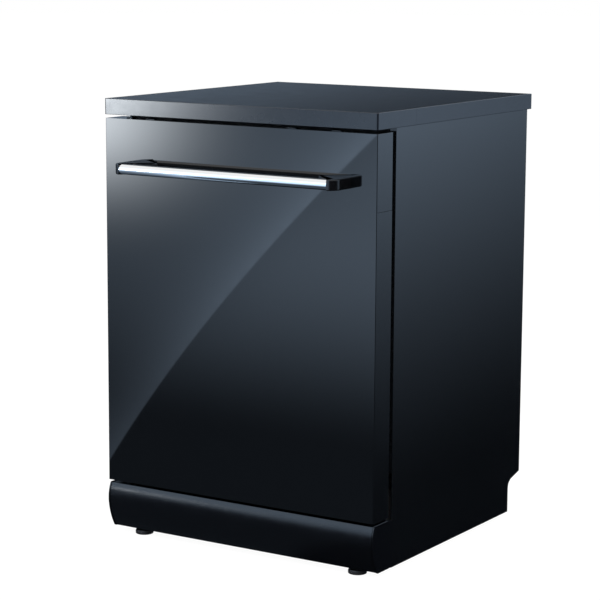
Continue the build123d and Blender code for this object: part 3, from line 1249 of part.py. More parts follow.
NODES = {
    "side_panel_right": side_panel,
    "side_panel_left": lambda: mirrored(side_panel()),
    "rear_panel": rear_panel,
    "worktop_board": worktop_board,
    "worktop_edging": worktop_edging,
    "top_crossbars": top_crossbars,
    "tub": tub,
    "door_seal": door_seal,
    "sump": sump,
    "filter_plate": filter_plate,
    "filter_cup": filter_cup,
    "feed_pipe": feed_pipe,
    "roller_brackets": roller_brackets,
    "upper_rollers_front": lambda: roller_pair(ROLLER_Y[0]),
    "upper_rollers_rear": lambda: roller_pair(ROLLER_Y[1]),
    "base_tray": base_tray,
    "plinth": plinth,
    "foot_front_left": lambda: foot(-FOOT_X, FOOT_Y[0]),
    "foot_front_right": lambda: foot(FOOT_X, FOOT_Y[0]),
    "foot_rear_left": lambda: foot(-FOOT_X, FOOT_Y[1]),
    "foot_rear_right": lambda: foot(FOOT_X, FOOT_Y[1]),
    "hinge_brackets": hinge_brackets,
    "door_springs": door_springs,
    "circulation_pump": circulation_pump,
    "drain_pump": drain_pump,
    "water_softener": water_softener,
    "salt_cap": salt_cap,
    "water_chamber": water_chamber,
    "inlet_valve": inlet_valve,
    "drain_outlet": drain_outlet,
    "door_front_panel": door_front_panel,
    "control_console": control_console,
    "display_window": display_window,
    "control_board": control_board,
    "power_button": lambda: button(BUTTON_X["power"]),
    "program_button": lambda: button(BUTTON_X["program"]),
    "start_button": lambda: button(BUTTON_X["start"]),
    "door_inner_panel": door_inner_panel,
    "door_bottom_seal": door_bottom_seal,
    "door_insulation": door_insulation,
    "hinge_arms": hinge_arms,
    "door_latch": door_latch,
    "dispenser_body": dispenser_body,
    "dispenser_lid": dispenser_lid,
    "rinse_aid_cap": rinse_aid_cap,
    "handle_bar": handle_bar,
    "handle_brackets": handle_brackets,
    "lower_rack": lower_rack,
    "lower_rack_clips": lambda: wheel_clips() + fold_clips(),
    "lower_wheels_front": lambda: wheel_pair(WHEEL_Y[0]),
    "lower_wheels_rear": lambda: wheel_pair(WHEEL_Y[1]),
    "lower_fold_tines": lower_fold_tines,
    "cutlery_basket": cutlery_basket,
    "upper_rack": upper_rack,
    "upper_rails": upper_rails,
    "upper_manifold": upper_manifold,
    "upper_arm": lambda: spray_arm(UPPER_ARM_R, UPPER_ARM_Z),
    "lower_arm": lambda: spray_arm(LOWER_ARM_R, LOWER_ARM_Z),
    "cup_shelf_right": cup_shelf,
    "cup_shelf_left": lambda: mirrored(cup_shelf()),
}

os.makedirs("parts", exist_ok=True)
for name, make in NODES.items():
    shape = make()
    solids = shape if isinstance(shape, list) else [shape]
    flat = [solid for piece in solids for solid in piece.solids()]
    export_step(flat[0] if len(flat) == 1 else Compound(flat), f"parts/{name}.step")
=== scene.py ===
"""A free-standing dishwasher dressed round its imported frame: finishes, fine forms, light and camera.

Run as a script. Lengths are metres, +Z is up and the machine's front faces -Y.
"""
import json
from math import cos, pi, radians, sin

import bmesh
import bpy
import numpy as np
from mathutils import Matrix, Vector

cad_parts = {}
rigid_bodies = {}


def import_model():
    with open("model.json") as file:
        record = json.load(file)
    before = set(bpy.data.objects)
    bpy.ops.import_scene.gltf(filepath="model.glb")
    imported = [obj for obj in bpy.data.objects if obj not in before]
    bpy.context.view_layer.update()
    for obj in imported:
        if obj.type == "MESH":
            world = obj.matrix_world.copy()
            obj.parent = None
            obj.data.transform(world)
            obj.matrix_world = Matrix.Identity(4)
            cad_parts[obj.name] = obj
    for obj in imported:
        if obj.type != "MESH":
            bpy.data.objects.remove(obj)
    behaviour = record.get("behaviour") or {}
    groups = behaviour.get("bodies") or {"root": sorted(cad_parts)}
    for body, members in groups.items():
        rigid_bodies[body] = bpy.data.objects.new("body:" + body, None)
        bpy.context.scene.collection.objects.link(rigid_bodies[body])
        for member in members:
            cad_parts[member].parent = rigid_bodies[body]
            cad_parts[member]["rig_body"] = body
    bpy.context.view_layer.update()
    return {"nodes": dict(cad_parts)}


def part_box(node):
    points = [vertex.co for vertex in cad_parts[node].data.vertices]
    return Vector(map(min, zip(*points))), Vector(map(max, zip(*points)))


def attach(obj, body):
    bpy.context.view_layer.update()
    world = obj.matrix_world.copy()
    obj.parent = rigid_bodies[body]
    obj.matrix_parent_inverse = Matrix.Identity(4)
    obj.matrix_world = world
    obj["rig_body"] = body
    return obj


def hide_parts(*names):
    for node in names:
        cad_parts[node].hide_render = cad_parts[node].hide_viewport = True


bl_info = {
    "name": "Dishwasher dresser",
    "version": (1, 0, 0),
    "blender": (4, 5, 0),
    "location": "View3D > Sidebar > Dishwasher",
    "description": "Builds the finishes and fine forms of a dishwasher round its packed frame",
    "category": "Add Mesh",
}

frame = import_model()
nodes = frame["nodes"]
MM = 0.001
UP = (0, 0, 1)


# Forms worked out as arrays


class Form:
    """Points with four-sided faces between them and flat faces that close the ends."""

    def __init__(self, points, quads, ends=()):
        self.points = points
        self.quads = quads
        self.ends = list(ends)

    def mirrored(self):
        """The form's twin on the other side of the middle."""
        return Form(self.points * (-1, 1, 1), self.quads, self.ends)

    def with_twin(self):
        """The form and its twin as one."""
        return joined([self, self.mirrored()])


def joined(forms):
    """Several forms as one."""
    start = 0
    quads = []
    ends = []
    for form in forms:
        quads.append(form.quads + start)
        ends += [[corner + start for corner in end] for end in form.ends]
        start += len(form.points)
    return Form(np.concatenate([form.points for form in forms]), np.concatenate(quads), ends)


def skin(rows, wrap_rows=False, caps=False):
    """A grid of points (rows, columns, 3) with a face between each four neighbours."""
    count, width = rows.shape[:2]
    index = np.arange(count * width).reshape(count, width)
    here = index if wrap_rows else index[:-1]
    down = np.roll(index, -1, 0) if wrap_rows else index[1:]
    quads = np.stack([here, np.roll(here, -1, 1), np.roll(down, -1, 1), down], -1)
    ends = [index[0].tolist(), index[-1].tolist()] if caps else []
    return Form(rows.reshape(-1, 3), quads.reshape(-1, 4), ends)


LOCAL = {"z": (0, 1, 2), "x": (1, 2, 0), "y": (2, 0, 1)}


def laid(points, axis):
    """Points worked out standing along Z, laid along the named axis instead."""
    world = np.empty_like(points)
    world[..., list(LOCAL[axis])] = points
    return world


def rounded_outline(half_x, half_y, radius, steps=5):
    """A rounded rectangle about the origin: a quarter circle at each corner."""
    angle = np.linspace(0, pi / 2, steps + 1)
    corners = []
    for quarter, (side_x, side_y) in enumerate(((1, 1), (-1, 1), (-1, -1), (1, -1))):
        turn = angle + quarter * pi / 2
        centre = (side_x * (half_x - radius), side_y * (half_y - radius))
        corners.append(np.stack([np.cos(turn), np.sin(turn)], -1) * radius + centre)
    return np.concatenate(corners)


def rim_profile(low, high, radius, steps=4):
    """Inset and height from the lower face to the upper one, both rims a quarter circle."""
    turn = np.linspace(0, pi / 2, steps + 1)
    inset = radius * (1 - np.sin(turn))
    drop = radius * (1 - np.cos(turn))
    lower = np.stack([inset, low + drop], -1)
    upper = np.stack([inset[::-1], (high - drop)[::-1]], -1)
    return np.concatenate([lower, upper])


def shrunk(outline, inset):
    """An outline moved inwards along its own normals, which come from each point's neighbours."""
    along = np.roll(outline, -1, 0) - np.roll(outline, 1, 0)
    normal = np.stack([-along[:, 1], along[:, 0]], -1)
    return outline + inset * normal / np.linalg.norm(normal, axis=1, keepdims=True)


def prism(outline, low, high, rim, axis="z", steps=4):
    """An anticlockwise outline pushed along an axis, with both rims rounded."""
    rows = []
    for inset, height in rim_profile(low, high, rim, steps):
        flat = shrunk(outline, inset)
        rows.append(np.column_stack([flat, np.full(len(flat), height)]))
    return skin(laid(np.array(rows), axis), caps=True)


def block(low, high, corner, rim, axis="z"):
    """A slab between two corners: a rounded rectangle pushed along an axis, rims rounded."""
    low = np.array(low, float)[list(LOCAL[axis])]
    high = np.array(high, float)[list(LOCAL[axis])]
    half = (high - low) / 2
    middle = (high + low) / 2
    rows = []
    for inset, height in rim_profile(low[2], high[2], rim):
        flat = rounded_outline(half[0] - inset, half[1] - inset, max(corner - inset, corner * 0.1))
        rows.append(np.column_stack([flat + middle[:2], np.full(len(flat), height)]))
    return skin(laid(np.array(rows), axis), caps=True)


def lathe(profile, centre, axis="z", sides=48, hollow=False):
    """A (radius, height) profile turned round an axis; a hollow one closes on itself."""
    profile = np.array(profile, float)
    angle = np.arange(sides) * 2 * pi / sides
    radius = profile[:, :1]
    height = np.broadcast_to(profile[:, 1:], (len(profile), sides))
    rows = np.stack([radius * np.cos(angle), radius * np.sin(angle), height], -1)
    return skin(laid(rows, axis) + np.asarray(centre), wrap_rows=hollow, caps=not hollow)


def disc_profile(radius, low, high, rim, steps=3):
    """The profile of a round solid with rounded rims, for a lathe."""
    pairs = rim_profile(low, high, rim, steps)
    return np.column_stack([radius - pairs[:, 0], pairs[:, 1]])


def threaded(radius, depth, pitch, low, high, centre, sides=32):
    """A screw thread: the radius falls and rises with height less the turn, once per pitch."""
    count = int((high - low) / pitch * 6) + 1
    height = np.linspace(low, high, count)[:, None]
    angle = (np.arange(sides) * 2 * pi / sides)[None, :]
    phase = (height / pitch - angle / (2 * pi)) % 1.0
    fade = np.clip(np.minimum(height - low, high - height) / pitch, 0, 1)
    wave = radius - depth * (1 - fade * (1 - np.abs(2 * phase - 1)))
    rows = np.stack([wave * np.cos(angle), wave * np.sin(angle), np.broadcast_to(height, wave.shape)], -1)
    return skin(rows + np.asarray(centre), caps=True)


def bent(points, radius, steps=5, closed=False):
    """A path through the points whose corners are arcs of one radius."""
    points = np.array(points, float)
    last = len(points) - 1
    path = []
    for i, corner in enumerate(points):
        if not closed and i in (0, last):
            path.append(corner[None])
            continue
        before = points[i - 1] - corner
        after = points[(i + 1) % (last + 1)] - corner
        before /= np.linalg.norm(before)
        after /= np.linalg.norm(after)
        half = np.arccos(np.clip(before @ after, -1, 1)) / 2
        bisector = (before + after) / np.linalg.norm(before + after)
        centre = corner + bisector * radius / sin(half)
        start = corner + before * radius / np.tan(half) - centre
        stop = corner + after * radius / np.tan(half) - centre
        total = pi - 2 * half
        share = np.linspace(0, 1, steps + 1)[:, None]
        swept = np.sin((1 - share) * total) * start + np.sin(share * total) * stop
        path.append(centre + swept / sin(total))
    return np.concatenate(path)


def carried(section, path, up, closed=False):
    """A section of (across, up) points carried along a path; up is one direction or one per point."""
    ahead = np.roll(path, -1, 0) - path
    behind = path - np.roll(path, 1, 0)
    if not closed:
        ahead[-1] = behind[-1]
        behind[0] = ahead[0]
    tangent = ahead / np.linalg.norm(ahead, axis=1, keepdims=True)
    tangent += behind / np.linalg.norm(behind, axis=1, keepdims=True)
    tangent /= np.linalg.norm(tangent, axis=1, keepdims=True)
    up = np.broadcast_to(np.array(up, float), path.shape)
    across = np.cross(tangent, up)
    across /= np.linalg.norm(across, axis=1, keepdims=True)
    turned = np.cross(across, tangent)
    rows = path[:, None] + across[:, None] * section[None, :, :1] + turned[:, None] * section[None, :, 1:]
    return skin(rows, wrap_rows=closed, caps=not closed)


def circle(radius, sides=12):
    """A round section."""
    angle = np.arange(sides) * 2 * pi / sides
    return np.stack([np.cos(angle), np.sin(angle)], -1) * radius


def tine(x, y, foot, top):
    """An upright wire with a domed tip."""
    radius = sizes().tine
    turn = np.linspace(0, pi / 2, 4)
    dome = np.stack([radius * np.cos(turn), top - radius + radius * np.sin(turn)], -1)
    dome[-1, 0] = radius * 0.08
    return lathe(np.concatenate([[[radius, foot]], dome]), (x, y, 0), sides=10)


def spaced(low, high, pitch):
    """Evenly spaced places from low to high, about one pitch apart."""
    return np.linspace(low, high, max(2, round((high - low) / pitch) + 1))


def arc_through(start, middle, stop, steps=10):
    """Points on the circle through three points, from the first to the last."""
    a, b, c = (np.array(p, float) for p in (start, middle, stop))
    d = 2 * (a[0] * (b[1] - c[1]) + b[0] * (c[1] - a[1]) + c[0] * (a[1] - b[1]))
    squares = [p @ p for p in (a, b, c)]
    ux = squares[0] * (b[1] - c[1]) + squares[1] * (c[1] - a[1]) + squares[2] * (a[1] - b[1])
    uy = squares[0] * (c[0] - b[0]) + squares[1] * (a[0] - c[0]) + squares[2] * (b[0] - a[0])
    centre = np.array([ux, uy]) / d
    angles = [np.arctan2(*(p - centre)[::-1]) for p in (a, b, c)]
    span = (angles[2] - angles[0] + pi) % (2 * pi) - pi
    via = (angles[1] - angles[0]) / span if span else 0
    if not 0 <= via <= 1:
        span -= np.sign(span) * 2 * pi
    turn = angles[0] + np.linspace(0, 1, steps + 1) * span
    return centre + np.linalg.norm(a - centre) * np.stack([np.cos(turn), np.sin(turn)], -1)


# Putting pieces in the scene


def place(name, form, material, body, slot, replaces=(), sharp=40):
    """Makes a form a mesh piece with its finish and body, and hides what it stands for. The slot is not used.
    """
    mesh = bpy.data.meshes.new(name)
    mesh.from_pydata(form.points, [], form.quads.tolist() + form.ends)
    shape = bmesh.new()
    shape.from_mesh(mesh)
    bmesh.ops.recalc_face_normals(shape, faces=shape.faces)
    shape.to_mesh(mesh)
    shape.free()
    mesh.shade_smooth()
    mesh.set_sharp_from_angle(angle=radians(sharp))
    shade_flat(settle(name, mesh, material, body, replaces), keep_sharp=True)


def settle(name, mesh, material, body, replaces):
    """Links a mesh as a piece that rides on its body."""
    mesh.materials.append(material)
    piece = bpy.data.objects.new(name, mesh)
    bpy.context.scene.collection.objects.link(piece)
    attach(piece, body)
    if replaces:
        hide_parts(*replaces)
    return piece


def shade_flat(piece, keep_sharp):
    """Weighs normals by face area, so that large faces look flat up to their rounded edges."""
    shading = piece.modifiers.new("flat faces", "WEIGHTED_NORMAL")
    shading.weight = 100
    shading.keep_sharp = keep_sharp


def refined(node, material, width):
    """A CAD piece again: triangles joined, flat faces merged, edges rounded to a width."""
    source = nodes[node]
    mesh = source.data.copy()
    mesh.materials.clear()
    shape = bmesh.new()
    shape.from_mesh(mesh)
    bmesh.ops.remove_doubles(shape, verts=shape.verts, dist=1e-6)
    bmesh.ops.dissolve_limit(shape, angle_limit=radians(0.5), verts=shape.verts, edges=shape.edges)
    shape.to_mesh(mesh)
    shape.free()
    mesh.shade_smooth()
    piece = settle(node + "_finished", mesh, material, source["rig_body"], (node,))
    rounding = piece.modifiers.new("rounded edges", "BEVEL")
    rounding.width = width
    rounding.segments = 2
    rounding.limit_method = "ANGLE"
    rounding.angle_limit = radians(30)
    shade_flat(piece, keep_sharp=False)


def coat(node, material):
    """Gives a CAD piece that keeps its own mesh its finish."""
    slots = nodes[node].data.materials
    slots.clear()
    slots.append(material)


# Finishes


def times(colour, factor):
    """A colour made darker or lighter."""
    return tuple(c * factor for c in colour)


def wired(tree, kind, **inputs):
    """A new node with its inputs set or linked; an underscore stands for a space in an input's name."""
    made = tree.nodes.new(kind)
    for label, value in inputs.items():
        socket = made.inputs[label.replace("_", " ")]
        if isinstance(value, bpy.types.NodeSocket):
            tree.links.new(value, socket)
        else:
            socket.default_value = value
    return made


class Finish:
    """A material with one Principled shader, whose patterns read the piece's own coordinates."""

    def __init__(self, name, colour, **sockets):
        self.material = bpy.data.materials.new(name)
        self.material.use_nodes = True
        self.tree = self.material.node_tree
        self.shader = self.tree.nodes["Principled BSDF"]
        self.shader.inputs["Base Color"].default_value = (*colour, 1)
        for label, value in sockets.items():
            self.shader.inputs[label.replace("_", " ")].default_value = value
        self.place = self.tree.nodes.new("ShaderNodeTexCoord").outputs["Object"]
        self.bump = None

    def node(self, kind, **inputs):
        """A new node of this material."""
        return wired(self.tree, kind, **inputs)

    def noise(self, scale, detail=4.0, stretch=(1, 1, 1)):
        """A cloudy pattern, scale cells to the metre, stretched along an axis."""
        spot = self.node("ShaderNodeMapping", Vector=self.place, Scale=stretch).outputs[0]
        return self.node("ShaderNodeTexNoise", Vector=spot, Scale=scale, Detail=detail).outputs["Fac"]

    def cells(self, scale, feature="F1"):
        """A pattern of irregular cells."""
        pattern = self.node("ShaderNodeTexVoronoi", Vector=self.place, Scale=scale)
        pattern.feature = feature
        return pattern.outputs["Distance"]

    def tinted(self, value, first, second, start=0.3, stop=0.7):
        """Colour between two tints by a pattern."""
        ramp = self.node("ShaderNodeValToRGB", Fac=value)
        ramp.color_ramp.elements[0].position = start
        ramp.color_ramp.elements[1].position = stop
        ramp.color_ramp.elements[0].color = (*first, 1)
        ramp.color_ramp.elements[1].color = (*second, 1)
        self.tree.links.new(ramp.outputs[0], self.shader.inputs["Base Color"])
        return self

    def rough(self, value, low, high):
        """Roughness between two values by a pattern's middle."""
        chosen = {"Value": value, "From_Min": 0.3, "From_Max": 0.7, "To_Min": low, "To_Max": high}
        spread = self.node("ShaderNodeMapRange", **chosen)
        self.tree.links.new(spread.outputs[0], self.shader.inputs["Roughness"])
        return self

    def raised(self, value, depth, strength=0.5):
        """A bump from a pattern, laid over any earlier one."""
        bump = self.node("ShaderNodeBump", Height=value, Strength=strength, Distance=depth)
        if self.bump:
            self.tree.links.new(self.bump, bump.inputs["Normal"])
        self.bump = bump.outputs[0]
        self.tree.links.new(self.bump, self.shader.inputs["Normal"])
        return self


def gloss_enamel(colours):
    """Dark gloss enamel on sheet steel, with the faint waviness of sprayed paint."""
    made = Finish("gloss_enamel", colours.enamel, Roughness=0.05, IOR=1.6)
    made.tinted(made.noise(3.0), times(colours.enamel, 0.8), colours.enamel)
    made.rough(made.noise(9.0), 0.035, 0.075)
    return made.raised(made.noise(420.0, 2.0), 0.02 * MM, 0.12).material


def mirror_enamel(colours):
    """The door's front: deeper and flatter gloss than the sides."""
    made = Finish("mirror_enamel", colours.enamel, Roughness=0.02, IOR=1.6)
    made.tinted(made.noise(2.0), times(colours.enamel, 0.8), colours.enamel)
    return made.rough(made.noise(6.0), 0.012, 0.03).material


def laminate(colours):
    """Dark laminate with a fine even grain."""
    made = Finish("laminate", colours.laminate, Roughness=0.13, IOR=1.5)
    made.tinted(made.noise(160.0), colours.laminate, times(colours.laminate, 1.12))
    made.rough(made.noise(30.0), 0.12, 0.15)
    return made.raised(made.noise(900.0, 3.0), 0.01 * MM, 0.08).material


def brushed_steel(name, colour, stretch):
    """Stainless steel with fine brush lines along one axis."""
    made = Finish(name, colour, Metallic=1.0, Roughness=0.28)
    lines = made.noise(1500.0, 3.0, stretch)
    made.tinted(lines, times(colour, 0.93), colour)
    made.rough(lines, 0.2, 0.34)
    return made.raised(lines, 0.01 * MM, 0.15).material


def galvanised_steel(colours):
    """Zinc-coated sheet with its faint crystal pattern."""
    made = Finish("galvanised_steel", colours.zinc, Metallic=1.0, Roughness=0.4)
    flakes = made.cells(70.0)
    made.tinted(flakes, times(colours.zinc, 0.78), colours.zinc, 0.1, 0.8)
    return made.rough(flakes, 0.32, 0.5).material


def moulded(name, colour, roughness=0.4, grain=700.0, depth=0.03):
    """Moulded plastic with a fine spark-eroded grain and slight unevenness."""
    made = Finish(name, colour, Roughness=roughness, IOR=1.47)
    made.tinted(made.noise(25.0), times(colour, 0.9), colour)
    made.rough(made.noise(60.0), roughness * 0.85, roughness * 1.15)
    return made.raised(made.noise(grain, 3.0), depth * MM, 0.35).material


def rubber(colours):
    """Soft black rubber with a dusty bloom."""
    made = Finish("seal_rubber", colours.rubber, Roughness=0.7, Sheen_Weight=0.1)
    made.tinted(made.noise(80.0), colours.rubber, times(colours.rubber, 1.6))
    return made.raised(made.noise(500.0), 0.05 * MM, 0.4).material


def coated_wire(colours):
    """Nylon coat on wire, satin and slightly uneven."""
    made = Finish("coated_wire", colours.wire, Roughness=0.34, IOR=1.5)
    made.tinted(made.noise(45.0), times(colours.wire, 0.88), colours.wire)
    return made.raised(made.noise(320.0, 2.0), 0.05 * MM, 0.3).material


def chrome(colours):
    """Bright chrome plate with faint polishing swirls."""
    made = Finish("bright_chrome", colours.chrome, Metallic=1.0, Roughness=0.06)
    return made.rough(made.noise(140.0, 4.0, (0.1, 1, 1)), 0.04, 0.09).material


def sound_mat(colours):
    """Heavy felt with clumped fibres."""
    made = Finish("sound_mat", colours.felt, Roughness=0.95)
    made.tinted(made.noise(220.0), times(colours.felt, 0.5), colours.felt)
    return made.raised(made.noise(400.0), 0.5 * MM, 0.8).material


def circuit_board(colours):
    """Green board with paler tracks."""
    made = Finish("circuit_board", colours.board, Roughness=0.35)
    tracks = made.cells(160.0, "DISTANCE_TO_EDGE")
    return made.tinted(tracks, times(colours.board, 1.8), colours.board, 0.03, 0.06).material


def mesh_steel(colours):
    """Filter sheet with a pattern of fine pressed holes, bumped, whose dark spots are painted shade inside
    the holes.
    """
    made = Finish("filter_mesh", colours.steel, Metallic=1.0, Roughness=0.35)
    holes = made.cells(330.0)
    # The holes are not cut: their dark spots are painted shade seen through them.
    made.tinted(holes, times(colours.steel, 0.08), colours.steel, 0.25, 0.4)
    return made.raised(holes, 0.3 * MM, 0.6).material


def smoked_window(colours):
    """Dark clear lens over the display."""
    made = Finish("smoked_window", colours.window, Roughness=0.04, IOR=1.5, Coat_Weight=0.3)
    return made.rough(made.noise(50.0), 0.03, 0.07).material


def colour_value(name, value, text):
    """A colour that a user may change."""
    given = {"name": name, "description": text, "default": value, "subtype": "COLOR"}
    return bpy.props.FloatVectorProperty(min=0, max=1, **given)


def length_value(name, value, text):
    """A length that a user may change."""
    return bpy.props.FloatProperty(name=name, description=text, default=value, unit="LENGTH", min=0)


class DishwasherColours(bpy.types.PropertyGroup):
    """Colours of the machine's finishes."""

    enamel: colour_value("Enamel", (0.0028, 0.0034, 0.0045), "Painted sides and door")
    laminate: colour_value("Laminate", (0.009, 0.011, 0.015), "Top of the worktop")
    edging: colour_value("Edging", (0.010, 0.013, 0.019), "Plastic strip round the worktop")
    # Painted shade: colour of the dark strip that stands in for the shaded groove between laminate and
    # edging.
    joint_line: colour_value("Joint line", (0.002, 0.0022, 0.003), "Dark line where laminate meets edging")
    chrome: colour_value("Chrome", (0.86, 0.87, 0.88), "Handle bar")
    bracket: colour_value("Bracket", (0.004, 0.004, 0.005), "Handle's end pieces")
    plinth: colour_value("Plinth", (0.0022, 0.0027, 0.0042), "Moulding under the door")
    base: colour_value("Base", (0.02, 0.02, 0.022), "Base tray and feet")
    steel: colour_value("Steel", (0.60, 0.60, 0.59), "Tub and inner door")
    zinc: colour_value("Zinc", (0.50, 0.52, 0.54), "Rear panel and brackets")
    rubber: colour_value("Rubber", (0.014, 0.014, 0.015), "Door gasket")
    wire: colour_value("Wire", (0.30, 0.315, 0.335), "Coated rack wire")
    grey: colour_value("Grey", (0.115, 0.122, 0.135), "Grey mouldings inside")
    pale: colour_value("Pale", (0.62, 0.62, 0.60), "Off-white mouldings inside")
    pump: colour_value("Pump", (0.03, 0.03, 0.033), "Pump housings")
    felt: colour_value("Felt", (0.05, 0.048, 0.045), "Sound mat")
    board: colour_value("Board", (0.01, 0.09, 0.035), "Circuit board")
    window: colour_value("Window", (0.004, 0.004, 0.005), "Display lens")


class DishwasherSizes(bpy.types.PropertyGroup):
    """Small sizes of the dressed forms."""

    panel_rim: length_value("Panel rim", 0.9 * MM, "Rounding of folded sheet edges")
    strip: length_value("Edging", 2.0 * MM, "Thickness of the worktop's edging")
    wrap: length_value("Edging wrap", 136 * MM, "How far the front edging runs back along each side")
    lip: length_value("Joint line", 2.4 * MM, "Width of the dark line round the worktop")
    tube_wall: length_value("Handle wall", 1.5 * MM, "Wall of the handle's tube")
    bracket_foot: length_value("Bracket foot", 178 * MM, "From the middle to a bracket's inner end")
    plinth_wall: length_value("Plinth wall", 3 * MM, "Wall of the plinth")
    plinth_brow: length_value("Plinth brow", 34 * MM, "Height of the part that leans back at the top")
    plinth_rake: length_value("Plinth rake", 18.5 * MM, "How far the plinth's foot stands back from its face")
    wire: length_value("Wire", 2.2 * MM, "Radius of the rack wires")
    tine: length_value("Tine", 1.9 * MM, "Radius of the tines")
    wire_bend: length_value("Wire bend", 9.0 * MM, "Radius of the bends in the rack wires")
    wire_pitch: length_value("Wire pitch", 50 * MM, "Between the floor wires of the lower rack")


def colours():
    """The colours set in the scene."""
    return bpy.context.scene.dishwasher_colours


def sizes():
    """The sizes set in the scene."""
    return bpy.context.scene.dishwasher_sizes


def finish_of(name, maker, *given):
    """A finish made once and used again by its name."""
    return bpy.data.materials.get(name) or maker(*given)


def steel_of_tub():
    """Steel brushed upright."""
    return finish_of("tub_steel", brushed_steel, "tub_steel", tuple(colours().steel), (1, 1, 0.02))


def steel_of_door():
    """Steel brushed from side to side."""
    return finish_of("door_steel", brushed_steel, "door_steel", tuple(colours().steel), (0.02, 1, 1))


def plastic(name, colour, *more):
    """Moulded plastic, made once for each name."""
    return finish_of(name, moulded, name, tuple(colour), *more)


def grey_plastic():
    """Plastic of the racks' fittings, the spray arms and the sump."""
    return plastic("grey_moulding", colours().grey)


def pale_plastic():
    """Plastic of the rollers, the dispenser's lid and the water parts."""
    return plastic("pale_moulding", colours().pale)


def zinc_plate():
    """Sheet of the rear panel, the hinges and the screws."""
    return finish_of("galvanised_steel", galvanised_steel, colours())


def dark_enamel():
    """Paint of the sides and the console."""
    return finish_of("gloss_enamel", gloss_enamel, colours())


# Outside of the machine


class DISHWASHER_OT_worktop(bpy.types.Operator):
    """Laminated worktop with its edging, and a dark line round its top that is painted shade of the groove
    between them
    """

    bl_idname = "dishwasher.worktop"
    bl_label = "Worktop"

    def execute(self, context):
        low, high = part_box("worktop_edging")
        strip = sizes().strip
        self.board(low, high, strip)
        self.edging(low, high, strip)
        self.joint_line(low, high, strip)
        return {"FINISHED"}

    def board(self, low, high, strip):
        """The slab between the edging's lengths."""
        corner = (low.x + strip, low.y + strip, low.z)
        slab = block(corner, (high.x - strip, high.y, high.z), 0.5 * MM, 0.35 * MM)
        finish = laminate(colours())
        place("worktop_laminate", slab, finish, "cabinet", "worktop_laminate", ("worktop_board",))

    def edging(self, low, high, strip):
        """A front length that wraps both corners, and a length behind it on each side."""
        across = high.x - strip / 2
        front = low.y + strip / 2
        seam = low.y + sizes().wrap
        middle = (0, 0, (high.z + low.z) / 2)
        section = rounded_outline(strip / 2, (high.z - low.z) / 2, 0.7 * MM)
        turns = [(-across, seam, 0), (-across, front, 0), (across, front, 0), (across, seam, 0)]
        wrap = carried(section, bent(turns, 3 * MM, 6) + middle, UP)
        back = np.array([(across, seam + 0.3 * MM, 0), (across, high.y, 0)]) + middle
        side = carried(section, back, UP)
        satin = plastic("edge_strip", colours().edging, 0.12, 500.0, 0.01)
        strips = joined([wrap, side, side.mirrored()])
        place("worktop_edge_strips", strips, satin, "cabinet", "trim_plastic", ("worktop_edging",))

    def joint_line(self, low, high, strip):
        """A thin dark line where laminate meets edging, at the front and both sides: painted shade of the
        groove there.
        """
        lip = sizes().lip
        section = rounded_outline(lip / 2, 0.25 * MM, 0.2 * MM, 2)
        across = high.x - strip - lip / 2 + 0.2 * MM
        front = low.y + lip / 2 + 0.8 * MM
        turns = [(-across, high.y, 0), (-across, front, 0), (across, front, 0), (across, high.y, 0)]
        line = carried(section, bent(turns, 2.5 * MM, 4) + (0, 0, high.z - 0.15 * MM), UP)
        # The dark strip is painted shade in the groove where laminate meets edging.
        dark = plastic("joint_line", colours().joint_line, 0.6)
        place("worktop_joint_line", line, dark, "cabinet", "trim_plastic")


class DISHWASHER_OT_cabinet(bpy.types.Operator):
    """Painted sides, rear panel, and black crossbars whose dark paint is also painted shade in the gap above
    the door
    """

    bl_idname = "dishwasher.cabinet"
    bl_label = "Cabinet panels"

    def execute(self, context):
        refined("side_panel_right", dark_enamel(), sizes().panel_rim)
        refined("side_panel_left", dark_enamel(), sizes().panel_rim)
        coat("rear_panel", zinc_plate())
        # Black e-coat on the crossbars, chosen dark partly as painted shade for the gap above the closed
        # door.
        coat("top_crossbars", plastic("black_paint", colours().base, 0.6))
        return {"FINISHED"}


class DISHWASHER_OT_door(bpy.types.Operator):
    """Door front, console housing, inner door and what sits in them"""

    bl_idname = "dishwasher.door"
    bl_label = "Door"

    def execute(self, context):
        refined("door_front_panel", mirror_enamel(colours()), 0.8 * MM)
        refined("control_console", dark_enamel(), 0.5 * MM)
        refined("door_inner_panel", steel_of_door(), 0.5 * MM)
        coat("door_insulation", sound_mat(colours()))
        coat("control_board", circuit_board(colours()))
        coat("door_bottom_seal", finish_of("seal_rubber", rubber, colours()))
        refined("hinge_arms", zinc_plate(), 0.3 * MM)
        refined("door_latch", plastic("latch_case", colours().pump), 0.6 * MM)
        refined("display_window", smoked_window(colours()), 0.2 * MM)
        for name in ("power", "program", "start"):
            low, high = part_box(name + "_button")
            key = block(low, high, 1.6 * MM, 0.6 * MM)
            cap = plastic("key_cap", colours().bracket, 0.25)
            place(name + "_key", key, cap, name + "_button", "button_plastic", (name + "_button",))
        return {"FINISHED"}


